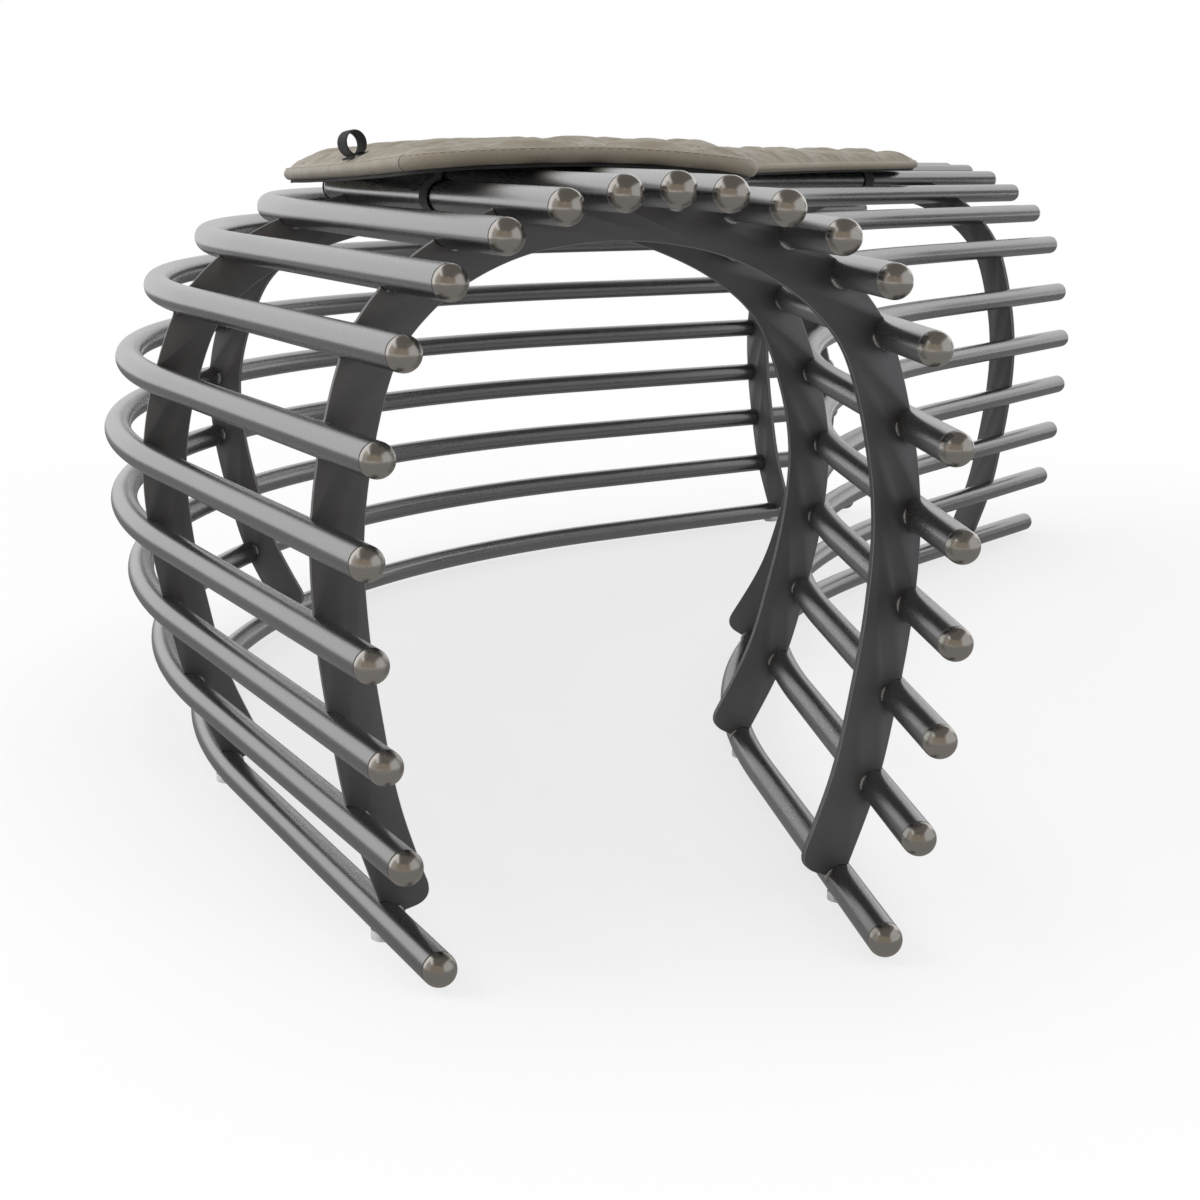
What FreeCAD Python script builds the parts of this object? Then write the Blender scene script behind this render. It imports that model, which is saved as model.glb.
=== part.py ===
"""Curved bench: round tubes laid along a crescent over four arched plates, with a quilted seat pad."""
import FreeCAD
import Part
import math
import os
from FreeCAD import Vector

# Plan of the bench: every tube is a middle arc with a straight, tangent leg at each end
HALF_CHORD = 827.0
CROWN_SAGITTA = 313.0
END_TURN_DEGREES = 25.5
MIDDLE_WIDENING_SHARE = 1.79
STRAIGHT_SHARE = 0.46

# Arch that the tube axes follow at the ends of the bench
END_HALF_WIDTH = 163.0
ARCH_HEIGHT = 413.0
WIDTH_SHARES = (0.773, 0.883, 0.945, 0.988, 1.0, 0.963, 0.877, 0.73, 0.552, 0.362, 0.172, 0.0)
HEIGHT_SHARES = (0.0, 0.14, 0.274, 0.407, 0.538, 0.668, 0.799, 0.886, 0.942, 0.978, 0.995, 1.0)

# Tubes and their domed end caps
TUBE_DIAMETER = 20.0
TUBE_WALL = 1.5
CAP_SPIGOT = 15.0
CAP_CLEARANCE = 0.15

# Arched plates that carry the tubes in notches
NEAR_RIB_OVERHANG = 100.0
SECOND_RIB_STATION = -450.0
THIRD_RIB_STATION = 0.0
FAR_RIB_OVERHANG = 140.0
RIB_BAND = 30.0
RIB_THICKNESS = 5.0
RIB_TOE_RADIUS = 12.0
NOTCH_CLEARANCE = 0.2
CUT_OVERRUN = 5.0

# Weld tacks at the bottom of each notch
WELD_RADIUS = 3.6
WELD_CLEARANCE = 0.05

# Floor glides under the two lowest tubes
GLIDE_DIAMETER = 16.0
GLIDE_THICKNESS = 3.0
GLIDE_WRAP = 6.0
GLIDE_CLEARANCE = 0.1

# Seat pad
PAD_OVERHANG = 172.0
PAD_MIDDLE_STATION = -20.0
PAD_END_HALF_WIDTH = 99.0
PAD_WIDENING_SHARE = 0.6
PAD_EDGE_DROP = 7.0
PAD_CROWN_THICKNESS = 15.0
PAD_EDGE_THICKNESS = 11.0
PAD_SIDE_BULGE = 3.0
PAD_CORNER = 26.0
PAD_SEAT_GAP = 0.3
PAD_BASE_THICKNESS = 2.0
PAD_LAYER_GAP = 0.1
PAD_SKIN = 2.5
QUILT_COLUMNS = 4
QUILT_ROW_PITCH = 37.0
QUILT_PUFF = 3.2
QUILT_STITCH = 2.4

# Straps that hold the pad to a tube on each side, their press studs, and the pull loop
STRAP_TUBES = (10, 14)
STRAP_STATION_SHARES = (-0.88, -0.4, 0.4, 0.88)
STRAP_WIDTH = 18.0
STRAP_THICKNESS = 1.3
STRAP_CLEARANCE = 0.3
STUD_DIAMETER = 7.0
STUD_HEIGHT = 2.2
STUD_CLEARANCE = 0.05
LOOP_STATION_SHARE = -0.748
LOOP_TURN_DEGREES = 21.0
LOOP_SEAT_SHARE = 0.9
LOOP_PUFF_SHARE = 0.64
LOOP_RADIUS = 8.5
LOOP_WIDTH = 12.0
LOOP_THICKNESS = 1.6
LOOP_TAB = 16.0

TUBE_RADIUS = TUBE_DIAMETER / 2
BORE_RADIUS = TUBE_RADIUS - TUBE_WALL
TURN = math.radians(END_TURN_DEGREES)
UP = Vector(0, 0, 1)
SIDE_COUNT = len(WIDTH_SHARES)
TUBE_COUNT = 2 * SIDE_COUNT - 1
HALVINGS = 60

# The box's middle in plan is the origin, and the glides stand on the floor
REACH_OUT = END_HALF_WIDTH * MIDDLE_WIDENING_SHARE + TUBE_RADIUS
REACH_IN = CROWN_SAGITTA + END_HALF_WIDTH * math.cos(TURN) + TUBE_RADIUS
PLAN_SHIFT = (REACH_IN - REACH_OUT) / 2
LOWEST_AXIS = GLIDE_THICKNESS + TUBE_RADIUS


class Path:
    """Plan line of one tube, measured by its length from the middle of the bench."""

    def __init__(self, end_offset):
        self.middle = PLAN_SHIFT + MIDDLE_WIDENING_SHARE * end_offset
        self.reach = HALF_CHORD + end_offset * math.sin(TURN)
        self.sagitta = self.middle - PLAN_SHIFT + CROWN_SAGITTA - end_offset * math.cos(TURN)
        self.leg = STRAIGHT_SHARE * self.reach
        self.bend = self.solve_bend()
        self.radius = (self.reach - self.leg * math.cos(self.bend)) / math.sin(self.bend)
        self.centre = self.middle - self.radius
        self.arc = self.radius * self.bend
        self.half = self.arc + self.leg

    def solve_bend(self):
        """Angle of half the arc, found by halving: the sagitta grows with the angle."""
        low, high = 0.0, math.pi / 2
        for _ in range(HALVINGS):
            angle = (low + high) / 2
            arc_part = (self.reach - self.leg * math.cos(angle)) * math.tan(angle / 2)
            if arc_part + self.leg * math.sin(angle) < self.sagitta:
                low = angle
            else:
                high = angle
        return (low + high) / 2

    def angle(self, station):
        """Angle turned from the middle, positive towards +X."""
        return max(-self.bend, min(self.bend, station / self.radius))

    def point(self, station, height=0.0):
        angle = self.angle(station)
        straight = station - self.radius * angle
        x = self.radius * math.sin(angle) + straight * math.cos(angle)
        y = self.centre + self.radius * math.cos(angle) - straight * math.sin(angle)
        return Vector(x, y, height)

    def along(self, station):
        """Unit direction towards +X."""
        angle = self.angle(station)
        return Vector(math.cos(angle), -math.sin(angle), 0)

    def outward(self, station):
        """Unit direction towards the outer side of the bend."""
        angle = self.angle(station)
        return Vector(math.sin(angle), math.cos(angle), 0)

    def crossing(self, origin, across):
        """Station where the vertical plane through origin, holding across, meets this line."""
        normal = across.cross(UP)
        low, high = -self.half, self.half
        for _ in range(HALVINGS):
            station = (low + high) / 2
            if (self.point(station) - origin).dot(normal) < 0:
                low = station
            else:
                high = station
        return (low + high) / 2


def side_table():
    """End offset and axis height of every tube, from the lowest outer one over the crown to the inner one."""
    outer = [(END_HALF_WIDTH * w, LOWEST_AXIS + ARCH_HEIGHT * h) for w, h in zip(WIDTH_SHARES, HEIGHT_SHARES)]
    inner = [(-offset, height) for offset, height in reversed(outer[:-1])]
    return outer + inner


TUBES = [(Path(offset), height) for offset, height in side_table()]
CROWN, CROWN_AXIS = TUBES[SIDE_COUNT - 1]
NEAR_RIB_STATION = NEAR_RIB_OVERHANG - CROWN.half
FAR_RIB_STATION = CROWN.half - FAR_RIB_OVERHANG
RIB_STATIONS = (NEAR_RIB_STATION, SECOND_RIB_STATION, THIRD_RIB_STATION, FAR_RIB_STATION)


def bar(path, height, radius):
    """Solid round bar along a tube's line."""
    start = path.point(-path.arc, height)
    along = path.along(-path.arc)
    disc = Part.Face(Part.Wire(Part.makeCircle(radius, start, along)))
    arc = disc.revolve(Vector(0, path.centre, height), -UP, math.degrees(2 * path.bend))
    first = disc.extrude(along * -path.leg)
    last = first.mirror(Vector(0, 0, 0), Vector(1, 0, 0))
    return first.fuse([arc, last])


def tube(path, height):
    return bar(path, height, TUBE_RADIUS).cut(bar(path, height, BORE_RADIUS))


def end_cap(path, height, side):
    """Polished dome on a short spigot that plugs the bore."""
    station = side * path.half
    seat = path.point(station, height)
    out = path.along(station) * side
    ball = Part.makeSphere(TUBE_RADIUS, seat)
    keep = Part.makeCylinder(TUBE_DIAMETER, TUBE_DIAMETER, seat, out)
    spigot = Part.makeCylinder(BORE_RADIUS - CAP_CLEARANCE, CAP_SPIGOT, seat, out * -1)
    return ball.common(keep).fuse(spigot).removeSplitter()


class Rib:
    """Arched plate in a vertical plane square to the crown tube."""

    def __init__(self, station):
        self.origin = CROWN.point(station)
        self.across = CROWN.outward(station)
        self.normal = CROWN.along(station)
        self.side = 1 if station > 0 else -1
        self.stations = [path.crossing(self.origin, self.across) for path, _ in TUBES]
        self.seats = [path.point(s, z) for (path, z), s in zip(TUBES, self.stations)]
        self.outs = [self.outward_at(i) for i in range(TUBE_COUNT)]

    def outward_at(self, index):
        """Unit direction in the plate, square to its edge, away from the space under the arch."""
        ahead = self.seats[min(index + 1, TUBE_COUNT - 1)]
        behind = self.seats[max(index - 1, 0)]
        run = (ahead - behind).normalize()
        return run.cross(self.normal).normalize()

    def bar_through(self, index, radius):
        """Short round bar along a tube where it passes the plate."""
        path = TUBES[index][0]
        run = path.along(self.stations[index])
        length = TUBE_DIAMETER + RIB_THICKNESS
        return Part.makeCylinder(radius, length, self.seats[index] - run * (length / 2), run)

    def plate(self):
        inner = [seat - out * RIB_BAND for seat, out in zip(self.seats, self.outs)]
        edges = []
        for row in (self.seats, inner):
            curve = Part.BSplineCurve()
            curve.interpolate(row)
            edges.append(curve.toShape())
        for index in (0, -1):
            edges.append(Part.LineSegment(self.seats[index], inner[index]).toShape())
        face = Part.Face(Part.Wire(Part.__sortEdges__(edges)))
        face.translate(self.normal * (-RIB_THICKNESS / 2))
        solid = face.extrude(self.normal * RIB_THICKNESS)
        solid = solid.makeFillet(RIB_TOE_RADIUS, self.toe_edges(solid, (inner[0], inner[-1])))
        notches = [self.bar_through(i, TUBE_RADIUS + NOTCH_CLEARANCE) for i in range(TUBE_COUNT)]
        return solid.cut(notches)

    def toe_edges(self, solid, toes):
        """Edges across the plate at its two inner lower corners."""
        found = []
        for edge in solid.Edges:
            middle = edge.CenterOfMass
            if any((middle - toe).Length < RIB_THICKNESS / 2 for toe in toes):
                found.append(edge)
        return found

    def tacks(self):
        """Weld tacks on the plate's outer face, one under each tube."""
        beads = []
        face = self.normal * (self.side * RIB_THICKNESS / 2)
        for index, (seat, out) in enumerate(zip(self.seats, self.outs)):
            centre = seat + face - out * TUBE_RADIUS
            bead = Part.makeSphere(WELD_RADIUS, centre)
            bead = bead.cut(self.bar_through(index, TUBE_RADIUS + WELD_CLEARANCE))
            beads.append(self.clear_of_plate(bead))
        return beads

    def clear_of_plate(self, bead):
        """Keeps the part of a bead that stands proud of the plate's face."""
        face = self.origin + self.normal * (self.side * (RIB_THICKNESS / 2 + WELD_CLEARANCE))
        size = END_HALF_WIDTH * MIDDLE_WIDENING_SHARE + ARCH_HEIGHT
        turn = FreeCAD.Rotation(UP, self.normal * self.side)
        slab = Part.makeBox(2 * size, 2 * size, WELD_RADIUS + CUT_OVERRUN, Vector(-size, -size, 0))
        slab.Placement = FreeCAD.Placement(face, turn)
        proud = bead.common(slab)
        return max(proud.Solids, key=lambda solid: solid.Volume)

    def glides(self):
        """Low round feet with a saddle for the lowest tube on each side."""
        feet = []
        for index in (0, TUBE_COUNT - 1):
            foot = self.seats[index]
            post = Part.makeCylinder(GLIDE_DIAMETER / 2, GLIDE_WRAP, Vector(foot.x, foot.y, 0))
            feet.append(post.cut(self.bar_through(index, TUBE_RADIUS + GLIDE_CLEARANCE)))
        return feet


PAD_HALF = CROWN.half - PAD_OVERHANG
PAD_SEAT = CROWN_AXIS + TUBE_RADIUS + PAD_SEAT_GAP
PAD_ROWS = 2 * round(PAD_HALF / QUILT_ROW_PITCH)
WIDE, _ = TUBES[SIDE_COUNT - 3]


def pad_half_width(station):
    """Half width of the pad: it widens to the middle by a share of what the tubes beside it do."""
    origin = CROWN.point(station)
    across = CROWN.outward(station)
    reach = (WIDE.point(WIDE.crossing(origin, across)) - origin).dot(across)
    end_reach = END_HALF_WIDTH * WIDTH_SHARES[SIDE_COUNT - 3]
    return PAD_END_HALF_WIDTH * (1 + PAD_WIDENING_SHARE * (reach / end_reach - 1))


def row_stations(inset):
    """Stations of the quilting rows between the blunt ends."""
    inner = PAD_HALF - PAD_CORNER - inset
    return [PAD_MIDDLE_STATION + inner * (2 * row / PAD_ROWS - 1) for row in range(PAD_ROWS + 1)]


def droop(offset):
    """Fall of the pad's underside at a distance from the crown tube."""
    return PAD_EDGE_DROP * (offset / PAD_END_HALF_WIDTH) ** 2


class PadLayer:
    """Closed loft along the crown tube; its sections are arcs and lines in upright planes."""

    def __init__(self, floor, inset, lower, puff):
        self.floor = floor
        self.inset = inset
        self.lower = lower
        self.puff = puff

    def sag(self, offset):
        """Height of the underside, which droops to both long edges."""
        return self.floor - droop(offset)

    def depth(self, share):
        """Height of the top over the underside: crowned in the middle, thin at the border."""
        swell = (PAD_CROWN_THICKNESS - PAD_EDGE_THICKNESS) * (1 - share * share)
        return PAD_EDGE_THICKNESS + swell - self.lower

    def section(self, station, narrow, flat, row):
        origin = CROWN.point(station)
        across = CROWN.outward(station)
        half = pad_half_width(station) - narrow - self.inset

        def place(share, height):
            return origin + across * (half * share) + UP * height

        def top(share):
            return self.sag(half * share) + self.depth(share) * flat

        low = self.sag(half)
        edges = [Part.Arc(place(-1, low), place(0, self.sag(0)), place(1, low)).toShape()]
        bulge = 1 + PAD_SIDE_BULGE / half
        middle = (low + top(1)) / 2
        edges.append(Part.Arc(place(1, low), place(bulge, middle), place(1, top(1))).toShape())
        stops = self.stitch_stops(half, row)
        for right, left in zip(stops, stops[1:]):
            centre = (right + left) / 2
            high = top(centre) + self.puff * flat * (right - left) * QUILT_COLUMNS / 2
            edges.append(Part.Arc(place(right, top(right)), place(centre, high), place(left, top(left))).toShape())
        edges.append(Part.Arc(place(-1, top(1)), place(-bulge, middle), place(-1, low)).toShape())
        return Part.Wire(edges)

    def stitch_stops(self, half, row):
        """Shares across the pad where the quilting dips, from the outer edge to the inner edge."""
        stitch = QUILT_STITCH / half
        pitch = 2 / QUILT_COLUMNS
        stops = [1.0]
        for column in range(QUILT_COLUMNS):
            start = 1 - column * pitch
            stops.append(start - (stitch if row % 2 else pitch - stitch))
            stops.append(start - pitch)
        return stops

    def end_section(self, side):
        """The last section at each end: narrower and thinner, so that the corners come out blunt."""
        flat_share = PAD_EDGE_THICKNESS / PAD_CROWN_THICKNESS
        station = PAD_MIDDLE_STATION + side * (PAD_HALF - self.inset)
        return self.section(station, PAD_CORNER, flat_share, PAD_ROWS)

    def solid(self):
        wires = [self.end_section(-1)]
        wires += [self.section(station, 0, 1, row) for row, station in enumerate(row_stations(self.inset))]
        wires.append(self.end_section(1))
        return Part.makeLoft(wires, True, True)


COVER = PadLayer(PAD_SEAT + PAD_BASE_THICKNESS + PAD_LAYER_GAP, 0, PAD_BASE_THICKNESS, QUILT_PUFF)


def pad_nodes():
    core = PadLayer(COVER.floor + PAD_SKIN, PAD_SKIN + PAD_SIDE_BULGE, PAD_BASE_THICKNESS + 2 * PAD_SKIN, 0)
    room = PadLayer(core.floor - PAD_LAYER_GAP, core.inset - PAD_LAYER_GAP, core.lower - 2 * PAD_LAYER_GAP, 0)
    return COVER.solid().cut(room.solid()), core.solid()


def sheet_section(station, narrow):
    origin = CROWN.point(station)
    across = CROWN.outward(station)
    half = pad_half_width(station) - narrow

    def place(share, lift):
        return origin + across * (half * share) + UP * (PAD_SEAT - droop(half * share) + lift)

    edges = []
    for lift, first in ((0, 1), (PAD_BASE_THICKNESS, -1)):
        edges.append(Part.Arc(place(first, lift), place(0, lift), place(-first, lift)).toShape())
        edges.append(Part.LineSegment(place(-first, lift), place(-first, PAD_BASE_THICKNESS - lift)).toShape())
    return Part.Wire(edges)


def pad_base():
    """Black sheet under the pad."""
    last = PAD_HALF - PAD_SIDE_BULGE
    wires = [sheet_section(PAD_MIDDLE_STATION - last, PAD_CORNER)]
    wires += [sheet_section(station, PAD_SIDE_BULGE) for station in row_stations(0)]
    wires.append(sheet_section(PAD_MIDDLE_STATION + last, PAD_CORNER))
    return Part.makeLoft(wires, True, True)


def underside(point, station):
    """Height of the pad's underside over a point beside the crown tube."""
    origin = CROWN.point(station)
    return PAD_SEAT - droop((point - origin).dot(CROWN.outward(station)))


class Strap:
    """Elastic band sewn under the pad and closed round a tube."""

    def __init__(self, number, station_share):
        self.path, self.height = TUBES[number - 1]
        self.crown_station = PAD_MIDDLE_STATION + station_share * PAD_HALF
        origin = CROWN.point(self.crown_station)
        self.station = self.path.crossing(origin, CROWN.outward(self.crown_station))
        self.run = self.path.along(self.station)
        self.seat = self.path.point(self.station, self.height)
        self.crownward = self.path.outward(self.station) * (-1 if number < SIDE_COUNT else 1)
        self.inner_radius = TUBE_RADIUS + STRAP_CLEARANCE
        self.outer_radius = self.inner_radius + STRAP_THICKNESS

    def cylinder(self, radius, length):
        return Part.makeCylinder(radius, length, self.seat - self.run * (length / 2), self.run)

    def band(self):
        ring = self.cylinder(self.outer_radius, STRAP_WIDTH)
        top = underside(self.seat, self.crown_station) - PAD_SEAT_GAP
        tail = Part.makeBox(STRAP_WIDTH, 2 * STRAP_THICKNESS, top - self.height)
        frame = FreeCAD.Rotation(self.run, UP.cross(self.run), UP, "ZXY")
        corner = self.seat - self.run * (STRAP_WIDTH / 2) - UP.cross(self.run) * STRAP_THICKNESS
        tail.Placement = FreeCAD.Placement(corner, frame)
        hole = self.cylinder(self.inner_radius, STRAP_WIDTH + CUT_OVERRUN)
        return ring.fuse(tail).cut(hole).removeSplitter()

    def stud(self):
        base = self.seat + self.crownward * self.inner_radius
        length = STRAP_THICKNESS + STUD_HEIGHT
        button = Part.makeCylinder(STUD_DIAMETER / 2, length, base, self.crownward)
        rim = [edge for edge in button.Edges if (edge.CenterOfMass - base).dot(self.crownward) > STRAP_THICKNESS]
        rim = [edge for edge in rim if edge.Closed and len(edge.Vertexes) == 1]
        button = button.makeFillet(STUD_HEIGHT / 2, rim)
        return button.cut(self.cylinder(self.outer_radius + STUD_CLEARANCE, STUD_DIAMETER + CUT_OVERRUN))


def pull_loop():
    """Webbing loop standing on its sewn tab at the pad's outer edge, square to the sloping top."""
    station = PAD_MIDDLE_STATION + LOOP_STATION_SHARE * PAD_HALF
    out = CROWN.outward(station)
    half = pad_half_width(station)
    share = LOOP_SEAT_SHARE
    fall = 2 * share * (droop(half) + PAD_CROWN_THICKNESS - PAD_EDGE_THICKNESS)
    stand = (UP * half + out * fall).normalize()
    run = FreeCAD.Rotation(stand, LOOP_TURN_DEGREES).multVec(CROWN.along(station))
    foot = CROWN.point(station, COVER.sag(half * share) + COVER.depth(share)) + out * (half * share)
    seat = foot + stand * (QUILT_PUFF * LOOP_PUFF_SHARE)
    side = stand.cross(run)
    middle = run * (LOOP_WIDTH / 2)
    centre = seat + stand * LOOP_RADIUS
    ring = Part.makeCylinder(LOOP_RADIUS, LOOP_WIDTH, centre - middle, run)
    tab = Part.makeBox(LOOP_WIDTH, LOOP_TAB, LOOP_THICKNESS)
    turn = FreeCAD.Rotation(run, side, stand, "ZXY")
    tab.Placement = FreeCAD.Placement(seat - middle - side * (LOOP_TAB / 2), turn)
    hole_start = centre - middle - run * CUT_OVERRUN
    hole = Part.makeCylinder(LOOP_RADIUS - LOOP_THICKNESS, LOOP_WIDTH + 2 * CUT_OVERRUN, hole_start, run)
    return ring.fuse(tab).cut(hole).removeSplitter()


def export(name, shape):
    shape.exportStep(f"parts/{name}.step")


def main():
    os.makedirs("parts", exist_ok=True)
    for number, (path, height) in enumerate(TUBES, start=1):
        export(f"tube_{number:02d}", tube(path, height))
    for name, side in (("end_caps_left", -1), ("end_caps_right", 1)):
        export(name, Part.makeCompound([end_cap(path, height, side) for path, height in TUBES]))
    feet = []
    for number, station in enumerate(RIB_STATIONS, start=1):
        rib = Rib(station)
        export(f"rib_{number}", rib.plate())
        export(f"weld_tacks_{number}", Part.makeCompound(rib.tacks()))
        feet += rib.glides()
    export("floor_glides", Part.makeCompound(feet))
    cover, core = pad_nodes()
    export("pad_cover", cover)
    export("pad_foam_core", core)
    export("pad_underside", pad_base())
    for side, number in zip(("outer", "inner"), STRAP_TUBES):
        straps = [Strap(number, share) for share in STRAP_STATION_SHARES]
        export(f"{side}_straps", Part.makeCompound([strap.band() for strap in straps]))
        export(f"{side}_press_studs", Part.makeCompound([strap.stud() for strap in straps]))
    export("pull_loop", pull_loop())


main()
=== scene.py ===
"""Dresses the curved bench: tubes, caps, arched plates, quilted pad, straps and a plain stage."""
import math

import bmesh
import bpy
from bpy.props import FloatProperty, FloatVectorProperty, IntProperty, PointerProperty
from mathutils import Matrix, Vector, noise
from mathutils.bvhtree import BVHTree


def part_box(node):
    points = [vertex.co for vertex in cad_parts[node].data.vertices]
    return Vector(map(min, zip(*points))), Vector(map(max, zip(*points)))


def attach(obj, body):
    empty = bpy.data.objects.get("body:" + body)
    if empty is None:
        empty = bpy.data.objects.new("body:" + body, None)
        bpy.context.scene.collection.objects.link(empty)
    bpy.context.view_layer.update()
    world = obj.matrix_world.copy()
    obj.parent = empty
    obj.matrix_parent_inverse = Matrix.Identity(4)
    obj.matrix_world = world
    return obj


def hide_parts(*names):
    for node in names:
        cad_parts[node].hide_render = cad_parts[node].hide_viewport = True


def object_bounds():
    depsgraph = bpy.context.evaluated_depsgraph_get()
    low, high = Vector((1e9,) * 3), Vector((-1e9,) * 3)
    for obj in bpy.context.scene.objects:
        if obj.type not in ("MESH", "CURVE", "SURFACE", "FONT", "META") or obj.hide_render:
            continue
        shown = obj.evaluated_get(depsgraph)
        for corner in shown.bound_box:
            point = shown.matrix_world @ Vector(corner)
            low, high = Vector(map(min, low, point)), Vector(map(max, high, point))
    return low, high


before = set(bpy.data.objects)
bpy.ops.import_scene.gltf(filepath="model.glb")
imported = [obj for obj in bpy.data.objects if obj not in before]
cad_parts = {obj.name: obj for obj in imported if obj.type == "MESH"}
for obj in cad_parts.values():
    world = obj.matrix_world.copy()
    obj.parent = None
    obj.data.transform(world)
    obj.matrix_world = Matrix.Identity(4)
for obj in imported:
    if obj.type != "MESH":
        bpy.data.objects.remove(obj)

bl_info = {
    "name": "Curved bench",
    "version": (1, 0, 0),
    "blender": (4, 5, 0),
    "location": "3D View > Sidebar > Bench",
    "description": "Builds the finished pieces of a curved bench round its packed frame",
    "category": "Object",
}

CAD_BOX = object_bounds()
MM = 0.001
UP = Vector((0, 0, 1))
FLAT_AXES = (Vector((1, 0, 0)), Vector((0, 1, 0)))
TINY = MM * MM
TUBE_COUNT = 23
CROWN_NUMBER = 12

# Plan of the bench: a middle arc with a straight, tangent leg at each end
HALF_CHORD = 827 * MM
CROWN_SAGITTA = 313 * MM
END_TURN = math.radians(25.5)
MIDDLE_WIDENING_SHARE = 1.79
STRAIGHT_SHARE = 0.46
END_HALF_WIDTH = 163 * MM
WIDTH_SHARES = (0.773, 0.883, 0.945, 0.988, 1.0, 0.963, 0.877, 0.73, 0.552, 0.362, 0.172, 0.0)

# Tubes and caps
TUBE_WALL = 1.5 * MM
TUBE_END_EASE = 0.3 * MM
CAP_SPIGOT = 15 * MM
CAP_SPIGOT_EASE = 1 * MM
CAP_FIT = 0.15 * MM
DOME_STEPS = 14

# Arched plates
NEAR_RIB_OVERHANG = 100 * MM
SECOND_RIB_STATION = -450 * MM
THIRD_RIB_STATION = 0.0
FAR_RIB_OVERHANG = 140 * MM
RIB_BAND = 30 * MM
RIB_THICKNESS = 5 * MM
RIB_TOE_RADIUS = 12 * MM
RIB_TOE_STEPS = 8
OUTER_EDGE_STEPS = 16
INNER_EDGE_STEPS = 8
NOTCH_CLEARANCE = 0.2 * MM
NOTCH_KEEP_OFF = 1.04
NOTCH_STEPS = 12
PLATE_EDGE_SEGMENTS = 2
# Lighter colour of the plates' cut edges: a painted highlight along the edges, and bare rubbed
# metal
EDGE_WEAR_AND_HIGHLIGHT_COLOUR = (0.5, 0.5, 0.5)

# Weld tacks: shares of the bead's radius, and ripples along it
WELD_HUG_SHARE = 0.35
WELD_STANDOFF_SHARE = 0.25
WELD_TIP_SHARE = 0.02
WELD_RIPPLE = 0.12
WELD_RIPPLE_RATE = 14
WELD_STEPS = 14
WELD_SIDES = 10

# Floor glides
GLIDE_RADIUS = 8 * MM
GLIDE_WRAP = 6 * MM
GLIDE_EDGE = 1.2 * MM
GLIDE_MIDDLE = 0.02 * MM
GLIDE_SADDLE_GAP = 0.1 * MM
GLIDE_STEPS = 10
GLIDE_SIDES = 40

# Seat pad
PAD_OVERHANG = 172 * MM
PAD_MIDDLE_STATION = -20 * MM
PAD_END_HALF_WIDTH = 99 * MM
PAD_WIDENING_SHARE = 0.6
PAD_EDGE_DROP = 7 * MM
PAD_EDGE_HANG = 5 * MM
PAD_FREE_EDGE = 26 * MM
PAD_END_START = 0.6
PAD_END_LIFT_SHARE = 0.4
PAD_SEAT_GAP = 0.3 * MM
PAD_BASE_THICKNESS = 2 * MM
PUFF_POWER = 2.4
PUFF_FADE = 7 * MM
QUILT_LINE_REACH = 2.4 * MM
BAND_STEPS = 10
RIM_SPAN = 2
HEM_WIDTH = 9 * MM
HEM_LIFT = 0.2 * MM
UNDERSIDE_STEP = 8
UNDERSIDE_SHARE = 0.95
SHEET_ROWS = 120
SHEET_COLUMNS = 16
SHEET_CLEARANCE = 0.2 * MM
SHEET_WAVE = 0.25 * MM
SHEET_WAVE_RATE = 25

# Filling of the pad, as a cloth simulation
FILLING_FRAMES = 20
FILLING_CLOTH = {
    "quality": 5,
    "mass": 0.25,
    "tension_stiffness": 14,
    "compression_stiffness": 14,
    "shear_stiffness": 8,
    "bending_stiffness": 1.5,
    "shrink_min": -0.035,
    "use_pressure": True,
}

# Stitches and seams; lifts are in thread radii
STITCH_PROBE_HEIGHT = 20 * MM
THREAD_SHARES = (0, 0.15, 0.5, 0.85, 1)
THREAD_SIDES = 6
THREAD_BULGE = 1.1
THREAD_TIP = 0.45
QUILT_STITCH_GAP = 2.2 * MM
QUILT_STITCH_LIFT = -0.8
QUILT_STITCH_INSET = 2 * MM
BORDER_STITCH_GAP = 1.6 * MM
BORDER_STITCH_LIFT = 0.2
BORDER_STITCH_DROP = 0.22
SEAM_RADIUS = 0.5 * MM
SEAM_FLATNESS = 0.5
SEAM_ROWS_FROM_END = 6
SEAM_START = 0.04
SEAM_REACH = 0.86
SEAM_STEPS = 16
SEAM_SIDES = 8
SEAM_DARKNESS = 0.3

# Straps, studs and pull loop
STRAP_TUBES = {"outer": 10, "inner": 14}
STRAP_STATION_SHARES = (-0.88, -0.4, 0.4, 0.88)
STRAP_CLEARANCE = 0.3 * MM
STRAP_LEG_SHARE = 0.6
STRAP_LEG_SPREAD = 1.6
STRAP_LEG_LEAN = 0.15
STRAP_NECK = 0.28
STRAP_STEPS = 40
STUD_SEAT_SHARE = 0.7
STUD_SIDES = 32
STUD_PROFILE = (
    (0, 0), (0.92, 0), (1, 0.25 * MM), (0.97, 0.6 * MM), (0.84, 0.75 * MM), (0.78, 1.1 * MM),
    (0.62, 1.75 * MM), (0.35, 2.1 * MM), (0, 2.2 * MM))
LOOP_STATION_SHARE = -0.748
LOOP_SEAT_SHARE = 0.9
LOOP_THICKNESS = 1.5 * MM
LOOP_LIFT_SHARE = 0.6
LOOP_SQUEEZE = 0.92
LOOP_NECK = 0.42
LOOP_STEPS = 36
LOOP_FLAT = 7 * MM
LOOP_FLAT_POINTS = ((1, 0.3), (0.55, 0.45))
WEB_RIBS = 6
WEB_RIB_SAMPLES = 4
WEB_RIB_DEPTH = 0.22
WEB_EDGE_POWER = 8
WEB_EDGE_SHARE = 0.15

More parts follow.
